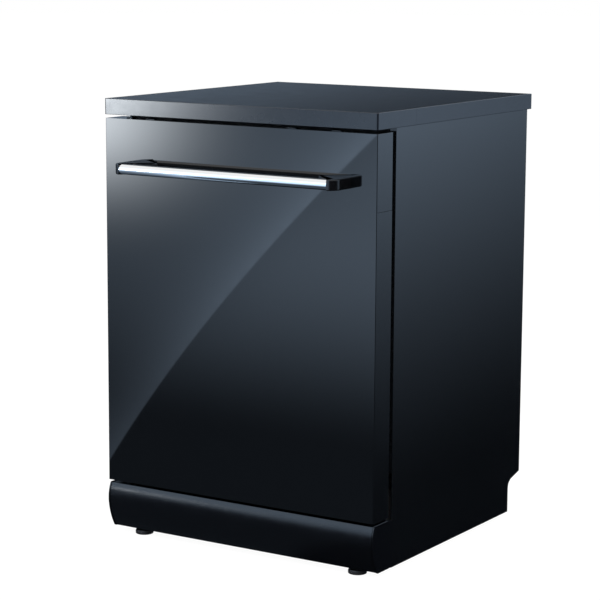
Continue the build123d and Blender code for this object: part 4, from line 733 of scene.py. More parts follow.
class DISHWASHER_OT_handle(bpy.types.Operator):
    """Chromed bar and the moulded bracket at each end"""

    bl_idname = "dishwasher.handle"
    bl_label = "Handle"

    def execute(self, context):
        low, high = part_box("handle_bar")
        middle = ((low + high) / 2).yz
        radius = (high.z - low.z) / 2
        bore = radius - sizes().tube_wall
        outer = disc_profile(radius, -high.x, high.x, 0.5 * MM)
        inner = disc_profile(bore, -high.x, high.x, 0.05 * MM)[::-1]
        inner[:, 0] = bore
        tube = lathe(np.concatenate([outer, inner]), (0, *middle), "x", 64, hollow=True)
        place("handle_tube", tube, chrome(colours()), "door", "handle_chrome", ("handle_bar",))
        black = plastic("bracket_black", colours().bracket, 0.16, 600.0, 0.01)
        ends = prism(self.outline(), low.z, high.z, 2.2 * MM, steps=5).with_twin()
        place("handle_end_brackets", ends, black, "door", "bracket_plastic", ("handle_brackets",))
        return {"FINISHED"}

    def outline(self):
        """Plan of the right-hand bracket: heel on the door, bed of the tube, nose, and foot on the door."""
        low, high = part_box("handle_brackets")
        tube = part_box("handle_bar")[1]
        clear = 0.3 * MM
        end = tube.x + clear
        seat = tube.y + clear
        bed_start = (end - 24 * MM, seat)
        heel = (sizes().bracket_foot, high.y)
        inside = arc_through(heel, (heel[0] + 16 * MM, high.y - 11 * MM), bed_start, 8)
        shoulder = (high.x - 1 * MM, low.y + 27 * MM)
        crest = (end + (high.x - end) * 0.75, low.y + 9 * MM)
        nose = arc_through((end, low.y), crest, shoulder, 12)
        foot = (high.x, high.y)
        bed = np.linspace(bed_start, (end, seat), 4)[1:]
        step = np.linspace((end, seat), (end, low.y), 4)[1:-1]
        base = np.linspace(foot, heel, 6)[:-1]
        return np.concatenate([inside, bed, step, nose, base])


class DISHWASHER_OT_plinth(bpy.types.Operator):
    """Bowed plinth under the door"""

    bl_idname = "dishwasher.plinth"
    bl_label = "Plinth"

    def execute(self, context):
        wall = sizes().plinth_wall
        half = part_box("plinth")[1].x - wall
        section = np.concatenate([self.side(0), self.side(wall)[::-1]])
        rows = np.stack([np.column_stack([np.full(len(section), x), section]) for x in (-half, half)])
        cheek = prism(self.cheek()[::-1], half, half + wall, 1.2 * MM, "x")
        moulding = joined([skin(rows, caps=True), cheek, cheek.mirrored()])
        satin = plastic("plinth_satin", colours().plinth, 0.22, 500.0, 0.012)
        place("plinth_moulding", moulding, satin, "cabinet", "plinth_plastic", ("plinth",), 50)
        return {"FINISHED"}

    def side(self, inset):
        """Line seen from the side, set in by a wall: a brow that leans back, then the bowed front."""
        low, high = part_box("plinth")
        face = low.y + inset
        crest = (low.y + 6.5 * MM + inset * 0.5, high.z - inset)
        shoulder = (low.y + 1.9 * MM + inset * 0.9, high.z - 13 * MM)
        brow = (face, high.z - sizes().plinth_brow)
        belly = (face + 4.2 * MM, (high.z + low.z) / 2 - 12 * MM)
        foot = (face + sizes().plinth_rake, low.z)
        back = np.array([(high.y, high.z - inset)])
        bow = arc_through(brow, belly, foot, 16)[1:]
        return np.concatenate([back, arc_through(crest, shoulder, brow, 8), bow])

    def cheek(self):
        """Outline of the plinth's closed end."""
        low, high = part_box("plinth")
        back = np.linspace((high.y, low.z), (high.y, high.z), 6)[:-1]
        base = np.linspace(self.side(0)[-1], (high.y, low.z), 5)[1:-1]
        return np.concatenate([self.side(0), base, back])


class DISHWASHER_OT_feet(bpy.types.Operator):
    """Levelling feet: round pads on threaded rods"""

    bl_idname = "dishwasher.feet"
    bl_label = "Feet"

    def execute(self, context):
        black = plastic("foot_black", colours().base, 0.5)
        for end in ("front", "rear"):
            for side in ("left", "right"):
                name = f"foot_{end}_{side}"
                low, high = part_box(name)
                centre = (*((low + high) / 2).xy, 0)
                radius = (high.x - low.x) / 2
                profile = [(radius * 0.3, 0), (radius - 1.5 * MM, 0), (radius - 0.4 * MM, 0.5 * MM)]
                profile += [(radius, 1.6 * MM), (radius, 6 * MM), (radius - 1 * MM, 8 * MM)]
                profile += [(radius - 4 * MM, 9 * MM), (5 * MM, 9 * MM)]
                pad = lathe(profile, centre)
                rod = threaded(5 * MM, 0.6 * MM, 1.5 * MM, 8.5 * MM, high.z, centre)
                place(name + "_pad", joined([pad, rod]), black, name, "foot_plastic", (name,))
        return {"FINISHED"}


# Inside of the machine


class DISHWASHER_OT_tub(bpy.types.Operator):
    """Stainless tub, its gasket, filter and fittings"""

    bl_idname = "dishwasher.tub"
    bl_label = "Tub"

    def execute(self, context):
        coat("tub", steel_of_tub())
        self.gasket()
        grey = grey_plastic()
        pale = pale_plastic()
        coat("filter_plate", mesh_steel(colours()))
        coat("filter_cup", grey)
        refined("salt_cap", grey, 0.5 * MM)
        refined("feed_pipe", grey, 0.8 * MM)
        coat("sump", grey)
        refined("roller_brackets", steel_of_tub(), 0.4 * MM)
        coat("water_chamber", pale)
        coat("water_softener", pale)
        return {"FINISHED"}

    def gasket(self):
        """A soft bulb section carried up one side, across the top and down the other."""
        low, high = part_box("door_seal")
        wide = 10 * MM
        deep = (high.y - low.y) / 2
        angle = np.arange(24) * 2 * pi / 24
        pinch = 1 - 0.22 * np.cos(angle) ** 8
        section = np.stack([np.sin(angle) * wide / 2, np.cos(angle) * deep * pinch], -1)
        x = high.x - wide / 2
        y = (low.y + high.y) / 2
        top = high.z - wide / 2
        path = bent([(-x, y, low.z), (-x, y, top), (x, y, top), (x, y, low.z)], 14 * MM, 8)
        bulb = carried(section, path, (0, -1, 0))
        soft = finish_of("seal_rubber", rubber, colours())
        place("door_gasket", bulb, soft, "cabinet", "seal_rubber", ("door_seal",))


RIM_WIRE = 2.5 * MM  # radius of the racks' rim in the frame
RACK_EDGE = 15 * MM  # from the rim to the first floor wire
LOWER_FLOOR = 208 * MM
LOWER_RIM = 340 * MM
LOWER_TINES = 92 * MM
UPPER_FLOOR = 507 * MM
UPPER_RIM = 610 * MM
UPPER_TINES = 46 * MM


def rack_space(node):
    """Half width, front and back of a rack, to the middle of its rim."""
    low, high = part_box(node)
    return high.x - RIM_WIRE, low.y + RIM_WIRE, high.y - RIM_WIRE


def floor_rows(node):
    """Places of a rack's cross wires, front to back."""
    front, back = rack_space(node)[1:]
    return spaced(front + RACK_EDGE, back - RACK_EDGE, sizes().wire_pitch)


def rack_form(node, floor, rim, pitch):
    """Wires of one rack: bent runs each way and two frames round it."""
    half, front, back = rack_space(node)
    bend = sizes().wire_bend
    radius = sizes().wire
    lift = 3.4 * MM
    ring = circle(radius)
    runs = []
    for x in spaced(RACK_EDGE - half, half - RACK_EDGE, pitch):
        points = [(x, front, rim), (x, front, floor + lift), (x, back, floor + lift), (x, back, rim)]
        runs.append(carried(ring, bent(points, bend), (1, 0, 0)))
    for y in floor_rows(node):
        points = [(-half, y, rim), (-half, y, floor), (half, y, floor), (half, y, rim)]
        runs.append(carried(ring, bent(points, bend), (0, 1, 0)))
    for z, thick in ((rim, radius * 1.15), ((floor + rim) / 2 + 8 * MM, radius * 0.85)):
        turns = [(-half, front, z), (half, front, z), (half, back, z), (-half, back, z)]
        runs.append(carried(circle(thick), bent(turns, 14 * MM, 6, True), UP, True))
    return runs


class DISHWASHER_OT_lower_rack(bpy.types.Operator):
    """Lower rack with its tines, wheels, clips, folding row and cutlery basket"""

    bl_idname = "dishwasher.lower_rack"
    bl_label = "Lower rack"

    def execute(self, context):
        wire = finish_of("coated_wire", coated_wire, colours())
        grey = grey_plastic()
        forms = rack_form("lower_rack", LOWER_FLOOR, LOWER_RIM, sizes().wire_pitch)
        top = LOWER_FLOOR + LOWER_TINES
        for x in (-165 * MM, -90 * MM):
            forms += [tine(x, y, LOWER_FLOOR, top) for y in floor_rows("lower_rack")[1:-1]]
        place("lower_rack_wires", joined(forms), wire, "lower_rack", "rack_coating", ("lower_rack",))
        self.folding_row(wire)
        refined("lower_rack_clips", grey, 0.6 * MM)
        refined("cutlery_basket", grey, 0.5 * MM)
        for end in ("front", "rear"):
            self.wheels("lower_wheels_" + end, grey)
        return {"FINISHED"}

    def folding_row(self, wire):
        """A bar in clips that carries a row of tines."""
        node = "lower_fold_tines"
        low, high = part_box(node)
        radius = 2.6 * MM
        inset = 18 * MM
        y = (low.y + high.y) / 2
        z = low.z + radius
        bar = lathe(disc_profile(radius, low.x, high.x, 0.8 * MM), (0, y, z), "x", 16)
        row = [tine(x, y, z, high.z) for x in spaced(low.x + inset, high.x - inset, 34 * MM)]
        place("folding_tines", joined([bar] + row), wire, node, "rack_coating", (node,))

    def wheels(self, body, material):
        """Two plastic wheels: a rounded tyre, a thin web with ribs and a hub."""
        low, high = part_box(body)
        y, z = ((low + high) / 2).yz
        radius = (high.z - low.z) / 2
        outer = high.x
        inner = outer - 11 * MM
        bore = 4.06 * MM
        tyre = [(radius - 3 * MM, inner), (radius - 1 * MM, inner), (radius, inner + 1.5 * MM)]
        tyre += [(radius, outer - 1.5 * MM), (radius - 1 * MM, outer), (radius - 3 * MM, outer)]
        web = [(bore + 2 * MM, inner + 3 * MM), (radius - 2.6 * MM, inner + 3 * MM)]
        web += [(radius - 2.6 * MM, inner + 6 * MM), (bore + 2 * MM, inner + 6 * MM)]
        hub = [(bore, inner), (bore + 3 * MM, inner), (bore + 3 * MM, outer), (bore, outer)]
        forms = [lathe(p, (0, y, z), "x", 48, hollow=True) for p in (tyre, web, hub)]
        for turn in np.arange(5) * 2 * pi / 5:
            foot = (inner + 2 * MM, -0.9 * MM, bore + 2 * MM)
            rib = block(foot, (outer - 1 * MM, 0.9 * MM, radius - 2.4 * MM), 0.4 * MM, 0.2 * MM)
            spin = np.array([[1, 0, 0], [0, cos(turn), -sin(turn)], [0, sin(turn), cos(turn)]])
            forms.append(Form(rib.points @ spin.T + (0, y, z), rib.quads, rib.ends))
        place(body + "_turned", joined(forms).with_twin(), material, body, "grey_plastic", (body,))


class DISHWASHER_OT_upper_rack(bpy.types.Operator):
    """Upper rack with its tines, rails, rollers, duct and cup shelves"""

    bl_idname = "dishwasher.upper_rack"
    bl_label = "Upper rack"

    def execute(self, context):
        wire = finish_of("coated_wire", coated_wire, colours())
        grey = grey_plastic()
        rail = finish_of("rail_steel", brushed_steel, "rail_steel", tuple(colours().steel), (1, 0.02, 1))
        forms = rack_form("upper_rack", UPPER_FLOOR, UPPER_RIM, 60 * MM)
        top = UPPER_FLOOR + UPPER_TINES
        for x in (-62 * MM, 62 * MM):
            forms += [tine(x, y, UPPER_FLOOR, top) for y in floor_rows("upper_rack")[1:-1]]
        forms += [self.hanger(side) for side in (-1, 1)]
        place("upper_rack_wires", joined(forms), wire, "upper_rack", "rack_coating", ("upper_rack",))
        refined("upper_rails", rail, 0.4 * MM)
        refined("upper_manifold", grey, 1.0 * MM)
        refined("cup_shelf_right", grey, 0.6 * MM)
        refined("cup_shelf_left", grey, 0.6 * MM)
        for end in ("front", "rear"):
            self.rollers("upper_rollers_" + end)
        return {"FINISHED"}

    def hanger(self, side):
        """The bent wire on one side that a cup shelf hangs on."""
        half, front, back = rack_space("upper_rack")
        x = side * (half - 14 * MM)
        near = front + 46 * MM
        far = back - 46 * MM
        foot = UPPER_RIM + 6 * MM
        top = UPPER_RIM + 34 * MM
        turns = [(side * half, near, UPPER_RIM), (x, near, foot), (x, near, top)]
        turns += [(x, far, top), (x, far, foot), (side * half, far, UPPER_RIM)]
        path = bent(turns, 5 * MM, 4)
        flat = np.cross(np.gradient(path, axis=0), UP)
        flat[np.linalg.norm(flat, axis=1) < 1e-6] = (1, 0, 0)
        return carried(circle(sizes().wire), path, flat)

    def rollers(self, body):
        """Two grooved rollers on one line: a thin hub, then a rounded tread with its bore."""
        low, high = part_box(body)
        y, z = ((low + high) / 2).yz
        radius = (high.z - low.z) / 2
        tread = radius - 2.5 * MM
        bore = 3.06 * MM
        hub = 5 * MM
        outer = high.x
        inner = outer - 10 * MM
        step = inner + 2.5 * MM
        profile = [(bore, inner), (hub, inner), (hub, step), (tread, step), (tread, inner)]
        profile += [(radius - 0.6 * MM, inner), (radius, inner + 0.8 * MM), (radius, outer - 0.8 * MM)]
        profile += [(radius - 0.8 * MM, outer), (bore, outer)]
        roller = lathe(profile, (0, y, z), "x", 40, hollow=True)
        place(body + "_turned", roller.with_twin(), pale_plastic(), body, "pale_plastic", (body,))


BLADE_LEAN = 3 * MM  # how far a blade's tip stands off the middle line


class DISHWASHER_OT_spray_arms(bpy.types.Operator):
    """Spray arms: tapered blades round a hub, with round jets"""

    bl_idname = "dishwasher.spray_arms"
    bl_label = "Spray arms"

    def execute(self, context):
        self.arm("lower_arm")
        self.arm("upper_arm")
        return {"FINISHED"}

    def arm(self, node):
        """Two blades that lean apart, a hub with its bore, and jets along the top."""
        low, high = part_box(node)
        blade = self.blade(low.z + 5 * MM, high.x)
        twin = Form(blade.points * (-1, -1, 1), blade.quads, blade.ends)
        rim = disc_profile(27 * MM, low.z, high.z, 1.6 * MM)
        bore = np.array([(8.06 * MM, high.z), (8.06 * MM, low.z)])
        forms = [blade, twin, lathe(np.concatenate([rim, bore]), (0, 0, 0), "z", 48, hollow=True)]
        for share in (0.3, 0.52, 0.74, 0.9, -0.4, -0.62, -0.85):
            forms.append(self.jet(high.z, (share * high.x, BLADE_LEAN * share, -0.2 * MM)))
        whole = joined(forms)
        whole.points += (*((low + high) / 2).xy, 0)
        place(node + "_moulding", whole, grey_plastic(), node, "grey_plastic", (node,), 35)

    def blade(self, middle, reach):
        """A rounded section carried outwards, whose width and height shrink and close in at the tip."""
        share = np.linspace(0, 1, 24)
        x = 20 * MM + (reach - 20 * MM) * share
        tip = np.sqrt(np.clip(1 - ((share - 0.9) / 0.1).clip(0) ** 2, 0.02, 1))
        wide = np.interp(share, (0, 1), (21 * MM, 11 * MM)) * tip
        tall = np.interp(share, (0, 1), (4.9 * MM, 3.6 * MM)) * (0.35 + 0.65 * tip)
        rows = []
        for i in range(len(x)):
            flat = rounded_outline(wide[i], tall[i], min(tall[i], wide[i]) * 0.75)
            flat = flat + (BLADE_LEAN * share[i], middle)
            rows.append(np.column_stack([np.full(len(flat), x[i]), flat]))
        return skin(np.array(rows), caps=True)

    def jet(self, top, spot):
        """A low ring round a small hole."""
        profile = [(4.2 * MM, top - 2.5 * MM), (3.6 * MM, top - 0.2 * MM), (2.9 * MM, top)]
        profile += [(0.9 * MM, top), (0.7 * MM, top - 1.2 * MM)]
        return lathe(profile, spot, "z", 20)


class DISHWASHER_OT_dispenser(bpy.types.Operator):
    """Detergent dispenser with its lid and rinse-aid cap"""

    bl_idname = "dishwasher.dispenser"
    bl_label = "Dispenser"

    def execute(self, context):
        refined("dispenser_body", grey_plastic(), 0.7 * MM)
        refined("dispenser_lid", pale_plastic(), 0.6 * MM)
        low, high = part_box("rinse_aid_cap")
        x, z = (low.x + high.x) / 2, (low.z + high.z) / 2
        radius = (high.x - low.x) / 2
        face = high.y - 7 * MM
        rim = lathe(disc_profile(radius, face, high.y - 3 * MM, 1.2 * MM), (x, 0, z), "y", 40)
        plug = lathe(disc_profile(radius - 4.3 * MM, low.y, face + 1 * MM, 0.6 * MM), (x, 0, z), "y", 32)
        reach = radius - 4 * MM
        grip_low = (x - reach, face + 3 * MM, z - 2.5 * MM)
        grip = block(grip_low, (x + reach, high.y, z + 2.5 * MM), 2 * MM, 0.8 * MM, "y")
        cap = joined([rim, plug, grip])
        place("rinse_cap_moulding", cap, grey_plastic(), "rinse_aid_cap", "grey_plastic", ("rinse_aid_cap",))
        return {"FINISHED"}


COIL = (-171.7 * MM, -69.7 * MM)  # where the coils of the door springs start and stop, along y


class DISHWASHER_OT_machinery(bpy.types.Operator):
    """Base tray, pumps, springs, hinge plates and hose connections"""

    bl_idname = "dishwasher.machinery"
    bl_label = "Machinery"

    def execute(self, context):
        pump = plastic("pump_case", colours().pump, 0.45)
        coat("base_tray", plastic("base_moulding", colours().base, 0.5, 400.0, 0.05))
        coat("hinge_brackets", zinc_plate())
        coat("circulation_pump", pump)
        coat("drain_pump", pump)
        springs = self.spring().with_twin()
        oiled = finish_of("spring_wire", brushed_steel, "spring_wire", (0.32, 0.32, 0.33), (1, 0.1, 1))
        place("door_coil_springs", springs, oiled, "cabinet", "spring_steel", ("door_springs",))
        coat("inlet_valve", pale_plastic())
        coat("drain_outlet", grey_plastic())
        return {"FINISHED"}

    def spring(self):
        """Right-hand door spring: wire wound in a helix between two straight links with eyes."""
        low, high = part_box("door_springs")
        start, stop = COIL
        outer, wire, turns = 4.4 * MM, 0.9 * MM, 38
        x = high.x - outer
        z = (low.z + high.z) / 2
        share = np.linspace(0, 1, turns * 14 + 1)
        angle = share * turns * 2 * pi
        radial = np.stack([np.cos(angle), np.zeros_like(angle), np.sin(angle)], -1)
        along = start + (stop - start) * share
        middle = np.stack([np.full_like(share, x), along, np.full_like(share, z)], -1)
        forms = [carried(circle(wire, 8), middle + radial * (outer - wire), radial)]
        link = circle(1.0 * MM, 8)
        side = x - 3 * MM
        loop = circle(4.6 * MM, 24)
        for near, eye in ((start, low.y + 6 * MM), (stop, high.y - 6 * MM)):
            away = np.sign(eye - near)
            points = [(x, near, z), (x, near + away * 6 * MM, z)]
            points += [(side, near + away * 12 * MM, z), (side, eye - away * 5 * MM, z)]
            forms.append(carried(link, bent(points, 3 * MM, 3), UP))
            ring = np.column_stack([np.full(24, side), loop + (eye, z)])
            forms.append(carried(link, ring, (1, 0, 0), True))
        return joined(forms)


SCREW_ROWS = (125 * MM, 330 * MM, 560 * MM, 790 * MM)
SCREW_REACH = 288 * MM


class DISHWASHER_OT_fasteners(bpy.types.Operator):
    """Screws that hold the rear panel"""

    bl_idname = "dishwasher.fasteners"
    bl_label = "Fasteners"

    def execute(self, context):
        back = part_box("side_panel_right")[1].y
        heads = [self.screw((x, back, z), "y") for z in SCREW_ROWS for x in (-SCREW_REACH, SCREW_REACH)]
        place("rear_screws", joined(heads), zinc_plate(), "cabinet", "galvanised_steel")
        return {"FINISHED"}

    def screw(self, spot, axis):
        """A pan head with a cross recess: the dome sinks where the point lies in the cross."""
        radius = 4 * MM
        ring = np.linspace(0.02, 1, 14)[:, None]
        angle = (np.arange(32) * 2 * pi / 32)[None, :]
        x = ring * np.cos(angle)
        y = ring * np.sin(angle)
        cross = (np.minimum(np.abs(x), np.abs(y)) < 0.13) & (ring < 0.6)
        dome = 1.9 * MM * np.sqrt(1 - 0.8 * ring**2) - 1.1 * MM * cross
        top = np.stack([x * radius, y * radius, np.broadcast_to(dome, x.shape)], -1)
        foot = top[-1:] * (1, 1, 0)
        rows = np.concatenate([top, foot])
        return skin(laid(rows, axis) + np.asarray(spot), caps=True)


# Stage


VIEW_AZIMUTH = 32.39
VIEW_ELEVATION = 9.59
VIEW_ROLL = 0.32
VIEW_DISTANCE = 4.206
VIEW_TARGET = (-0.0494, 0.0267, 0.4449)
VIEW_FOCUS_PIXELS = 2126
PICTURE = 600
SENSOR = 36.0
FLOOR_REACH = 30.0
FLOOR_GLOW = 1.1
FLOOR_SHARE = 0.88  # how much of the floor's look is its own glow
SOFT_LIGHT = 0.36  # strength of the surround as a light
LAMPS = (  # name, place, side and watts
    ("key", (-2.4, -3.0, 3.2), 2.2, 95),
    ("fill", (3.2, -1.6, 2.2), 2.4, 60),
    ("top", (0.4, 1.2, 3.6), 2.4, 60),
)
LAMP_AIM = Vector((0, 0, 0.45))
TENT_REACH = 10.0
TENT_RIM = 5.5
EDGE_BLUR = 0.004  # half width of the slanting edge, as a share of the door
SLATE = np.array((0.85, 1.11, 1.45))  # tint of the tent's graded light
SPILL_TINT = np.array((1.0, 1.06, 1.11))  # tint of its bright spill


def smooth(start, stop, value):
    """Rises from 0 to 1 between two values with a gentle start and end; falls if start is the larger."""
    share = np.clip((value - start) / (stop - start), 0, 1)
    return share * share * (3 - 2 * share)


def view_back():
    """Unit direction from the machine to the camera."""
    a, e = radians(VIEW_AZIMUTH), radians(VIEW_ELEVATION)
    return Vector((sin(a) * cos(e), -cos(a) * cos(e), sin(e)))


class DISHWASHER_OT_stage(bpy.types.Operator):
    """Floor, light tent, lamps, world and camera"""

    bl_idname = "dishwasher.stage"
    bl_label = "Stage"

    def execute(self, context):
        self.camera()
        self.world()
        self.floor()
        self.tent()
        for name, spot, size, power in LAMPS:
            self.lamp(name, spot, size, power)
        context.scene.view_settings.view_transform = "Standard"
        return {"FINISHED"}

    def camera(self):
        """Camera at the photograph's viewing angle."""
        lens = bpy.data.cameras.new("camera")
        lens.sensor_width = SENSOR
        lens.lens = VIEW_FOCUS_PIXELS / PICTURE * SENSOR
        lens.clip_end = 1000
        camera = bpy.data.objects.new("camera", lens)
        bpy.context.scene.collection.objects.link(camera)
        back = view_back()
        turned = back.to_track_quat("Z", "Y").to_matrix().to_4x4()
        roll = Matrix.Rotation(radians(VIEW_ROLL), 4, "Z")
        spot = Vector(VIEW_TARGET) + back * VIEW_DISTANCE
        camera.matrix_world = Matrix.Translation(spot) @ turned @ roll
        bpy.context.scene.camera = camera

    def world(self):
        """A white surround to look at, and an even soft light."""
        world = bpy.data.worlds.new("surround")
        bpy.context.scene.world = world
        world.use_nodes = True
        tree = world.node_tree
        tree.nodes.clear()
        ray = tree.nodes.new("ShaderNodeLightPath").outputs
        seen = self.larger(tree, ray["Is Camera Ray"], ray["Is Glossy Ray"])
        seen = self.larger(tree, seen, ray["Is Transmission Ray"])
        level = wired(tree, "ShaderNodeMapRange", Value=seen, To_Min=SOFT_LIGHT, To_Max=1.0)
        shade = wired(tree, "ShaderNodeBackground", Color=(1, 1, 1, 1), Strength=level.outputs[0])
        wired(tree, "ShaderNodeOutputWorld", Surface=shade.outputs[0])

    def larger(self, tree, first, second):
        """The larger of two node values."""
        made = tree.nodes.new("ShaderNodeMath")
        made.operation = "MAXIMUM"
        tree.links.new(first, made.inputs[0])
        tree.links.new(second, made.inputs[1])
        return made.outputs[0]

    def floor(self):
        """A wide pale floor that keeps the machine's soft shadow."""
        ring = lathe([(0.01, 0.0), (FLOOR_REACH, 0.0)], (0, 0, -0.0005), sides=64)
        mesh = bpy.data.meshes.new("floor")
        mesh.from_pydata(ring.points, [], ring.quads.tolist() + ring.ends[:1])
        floor = bpy.data.objects.new("floor", mesh)
        bpy.context.scene.collection.objects.link(floor)
        pale = bpy.data.materials.new("pale_floor")
        pale.use_nodes = True
        tree = pale.node_tree
        tree.nodes.clear()
        path = tree.nodes.new("ShaderNodeLightPath")
        glow = wired(tree, "ShaderNodeEmission", Strength=FLOOR_GLOW)
        matte = wired(tree, "ShaderNodeBsdfDiffuse", Color=(0.9, 0.9, 0.9, 1))
        share = tree.nodes.new("ShaderNodeMath")
        share.operation = "MULTIPLY"
        share.inputs[1].default_value = FLOOR_SHARE
        tree.links.new(path.outputs["Is Camera Ray"], share.inputs[0])
        mix = wired(tree, "ShaderNodeMixShader", Fac=share.outputs[0])
        tree.links.new(matte.outputs[0], mix.inputs[1])
        tree.links.new(glow.outputs[0], mix.inputs[2])
        wired(tree, "ShaderNodeOutputMaterial", Surface=mix.outputs[0])
        mesh.materials.append(pale)

    def tent(self):
        """A bowl of light that only reflections see, with its outer rim raised."""
        angle = np.arange(360) * 2 * pi / 360
        radius = np.concatenate([np.linspace(0.02, 3.2, 240), np.linspace(3.25, TENT_REACH, 80)])
        height = np.maximum(0.3 * (radius - 0.8), 0.002)
        rim = np.linspace(height[-1], TENT_RIM, 12)[1:]
        radius = np.concatenate([radius, np.full(len(rim), TENT_REACH)])[:, None]
        height = np.concatenate([height, rim])[:, None]
        x = radius * np.cos(angle)
        y = radius * np.sin(angle)
        bowl = skin(np.stack([x, y, np.broadcast_to(height, x.shape)], -1))
        mesh = bpy.data.meshes.new("light_tent")
        mesh.from_pydata(bowl.points, [], bowl.quads.tolist())
        under, over, edge = self.levels(bowl.points)
        for label, values in (("under_edge", under), ("over_edge", over)):
            layer = mesh.attributes.new(label, "FLOAT_COLOR", "POINT")
            solid = np.column_stack([values, np.ones(len(values))])
            layer.data.foreach_set("color", solid.astype(np.float32).ravel())
        mesh.attributes.new("edge", "FLOAT", "POINT").data.foreach_set("value", edge.astype(np.float32))
        tent = bpy.data.objects.new("light_tent", mesh)
        bpy.context.scene.collection.objects.link(tent)
        tent.visible_camera = False
        tent.visible_diffuse = False
        tent.visible_shadow = False
        tent.visible_transmission = False
        tent.visible_volume_scatter = False
        mesh.materials.append(self.tent_light())

    def seen_in(self, points, axis, place):
        """Where a flat mirror at a place along an axis shows each point to the camera."""
        eye = np.array(Vector(VIEW_TARGET) + view_back() * VIEW_DISTANCE)
        eye[axis] = 2 * place - eye[axis]
        way = points - eye
        way[:, axis] = np.where(np.abs(way[:, axis]) < 1e-6, 1e-6, way[:, axis])
        return eye + way * ((place - eye[axis]) / way[:, axis])[:, None]

    def levels(self, points):
        """Colours of the tent's light under and over its slanting edge, and how far each point is from it."""
        angle = np.degrees(np.arctan2(points[:, 1], points[:, 0]))
        front = smooth(-60, -75, angle)
        right = smooth(-5, 15, angle) * smooth(88, 76, angle)
        behind = smooth(80, 90, angle)
        height = points[:, 2]
        above = 0.8 * smooth(0.95, 1.5, height) * (1 - behind)
        beyond = 0.5 * smooth(3.0, 4.5, height) + self.top_light(points)
        rest = 0.01 + 0.045 * front + self.side_light(points) * right + beyond * behind + above
        under, over, spill, edge = self.door_light(points)
        glow = (spill * front)[:, None] * SPILL_TINT
        under = (rest + front * under)[:, None] * SLATE + glow
        over = (rest + front * over)[:, None] * SLATE + glow
        return under, over, edge

    def door_light(self, points):
        """What the door shows: levels under and over the slanting edge, a spill in a corner, the edge."""
        low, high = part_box("door_front_panel")
        door = self.seen_in(points, 1, low.y)
        across = (door[:, 0] - low.x) / (high.x - low.x)
        down = (high.z - door[:, 2]) / (high.z - low.z)
        edge = 1.0 - 1.30 * down + 0.26 * down**2 - across
        near = np.exp(-np.abs(edge) / 0.16)
        base = 1.05 * smooth(0.82, 0.25, down)
        under = base * (1 - 0.22 * near)
        over = base * (0.5 + 0.5 * near + 0.22 * smooth(0.35, 0.05, down)) + 0.45 * near
        spill = np.exp(-0.5 * ((across + 0.094) / 0.235) ** 2 - 0.5 * ((down + 0.028) / 0.13) ** 2)
        spill *= 10.4 * (1 + 1.3 * smooth(-0.002, -0.02, down))
        return under, over, spill, edge

    def side_light(self, points):
        """What the side panel shows: light that fades downwards and to the back."""
        low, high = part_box("side_panel_right")
        side = self.seen_in(points, 0, high.x)
        drop = np.clip((high.z - side[:, 2]) / (high.z - low.z), 0, 1)
        rear = np.clip((side[:, 1] - low.y) / (high.y - low.y), 0, 1)
        return 0.66 * np.clip(1 - drop / 0.86, 0, 1) ** 2 * (1.13 - 0.4 * rear)

    def top_light(self, points):
        """What the worktop shows: light that fades to the right and the back."""
        low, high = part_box("worktop_board")
        top = self.seen_in(points, 2, high.z)
        along = np.clip((top[:, 0] - low.x) / (high.x - low.x), 0, 1)
        deep = np.clip((high.y - top[:, 1]) / (high.y - low.y), 0, 1.5)
        return 0.205 * (1 - along**1.1) * (0.68 + 0.4 * deep)

    def tent_light(self):
        """The tent's light, with one sharp slanting edge between its two gradings."""
        light = bpy.data.materials.new("tent_light")
        light.use_nodes = True
        tree = light.node_tree
        tree.nodes.clear()
        read = {}
        for label in ("under_edge", "over_edge", "edge"):
            read[label] = tree.nodes.new("ShaderNodeAttribute")
            read[label].attribute_name = label
        far = read["edge"].outputs["Fac"]
        side = wired(tree, "ShaderNodeMapRange", Value=far, From_Min=-EDGE_BLUR, From_Max=EDGE_BLUR)
        side.interpolation_type = "SMOOTHSTEP"
        blend = tree.nodes.new("ShaderNodeMix")
        blend.data_type = "RGBA"
        tree.links.new(side.outputs[0], blend.inputs["Factor"])
        tree.links.new(read["under_edge"].outputs["Color"], blend.inputs["A"])
        tree.links.new(read["over_edge"].outputs["Color"], blend.inputs["B"])
        glow = wired(tree, "ShaderNodeEmission", Color=blend.outputs["Result"])
        wired(tree, "ShaderNodeOutputMaterial", Surface=glow.outputs[0])
        return light

    def lamp(self, name, spot, size, power):
        """A square soft lamp that faces the machine."""
        light = bpy.data.lights.new(name, "AREA")
        light.shape = "SQUARE"
        light.size = size
        light.energy = power
        lamp = bpy.data.objects.new(name, light)
        lamp.visible_glossy = False
        bpy.context.scene.collection.objects.link(lamp)
        aim = LAMP_AIM - Vector(spot)
        lamp.matrix_world = Matrix.Translation(spot) @ aim.to_track_quat("-Z", "Y").to_matrix().to_4x4()


class DISHWASHER_PT_panel(bpy.types.Panel):
    """Lists the steps that dress the machine"""

    bl_label = "Dishwasher"
    bl_space_type = "VIEW_3D"
    bl_region_type = "UI"
    bl_category = "Dishwasher"

    def draw(self, context):
        for step in STEPS:
            self.layout.operator(step.bl_idname)


STEPS = (
    DISHWASHER_OT_stage,
    DISHWASHER_OT_worktop,
    DISHWASHER_OT_cabinet,
    DISHWASHER_OT_door,
    DISHWASHER_OT_handle,
    DISHWASHER_OT_plinth,
    DISHWASHER_OT_feet,
    DISHWASHER_OT_tub,
    DISHWASHER_OT_lower_rack,
    DISHWASHER_OT_upper_rack,
    DISHWASHER_OT_spray_arms,
    DISHWASHER_OT_dispenser,
    DISHWASHER_OT_machinery,
    DISHWASHER_OT_fasteners,
)
CLASSES = (DishwasherColours, DishwasherSizes, DISHWASHER_PT_panel) + STEPS


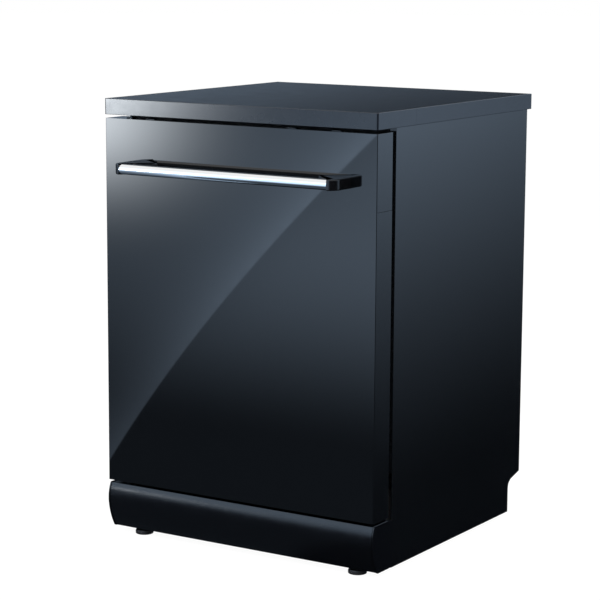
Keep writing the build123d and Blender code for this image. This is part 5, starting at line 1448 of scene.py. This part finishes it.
def register():
    for made in CLASSES:
        bpy.utils.register_class(made)
    bpy.types.Scene.dishwasher_colours = bpy.props.PointerProperty(type=DishwasherColours)
    bpy.types.Scene.dishwasher_sizes = bpy.props.PointerProperty(type=DishwasherSizes)


def unregister():
    del bpy.types.Scene.dishwasher_sizes
    del bpy.types.Scene.dishwasher_colours
    for made in reversed(CLASSES):
        bpy.utils.unregister_class(made)


def corners(box):
    return [list(corner) for corner in box]


def main():
    """Registers the steps and runs them in order."""
    register()
    for step in STEPS:
        group, name = step.bl_idname.split(".")
        getattr(getattr(bpy.ops, group), name)()


if __name__ == "__main__":
    main()
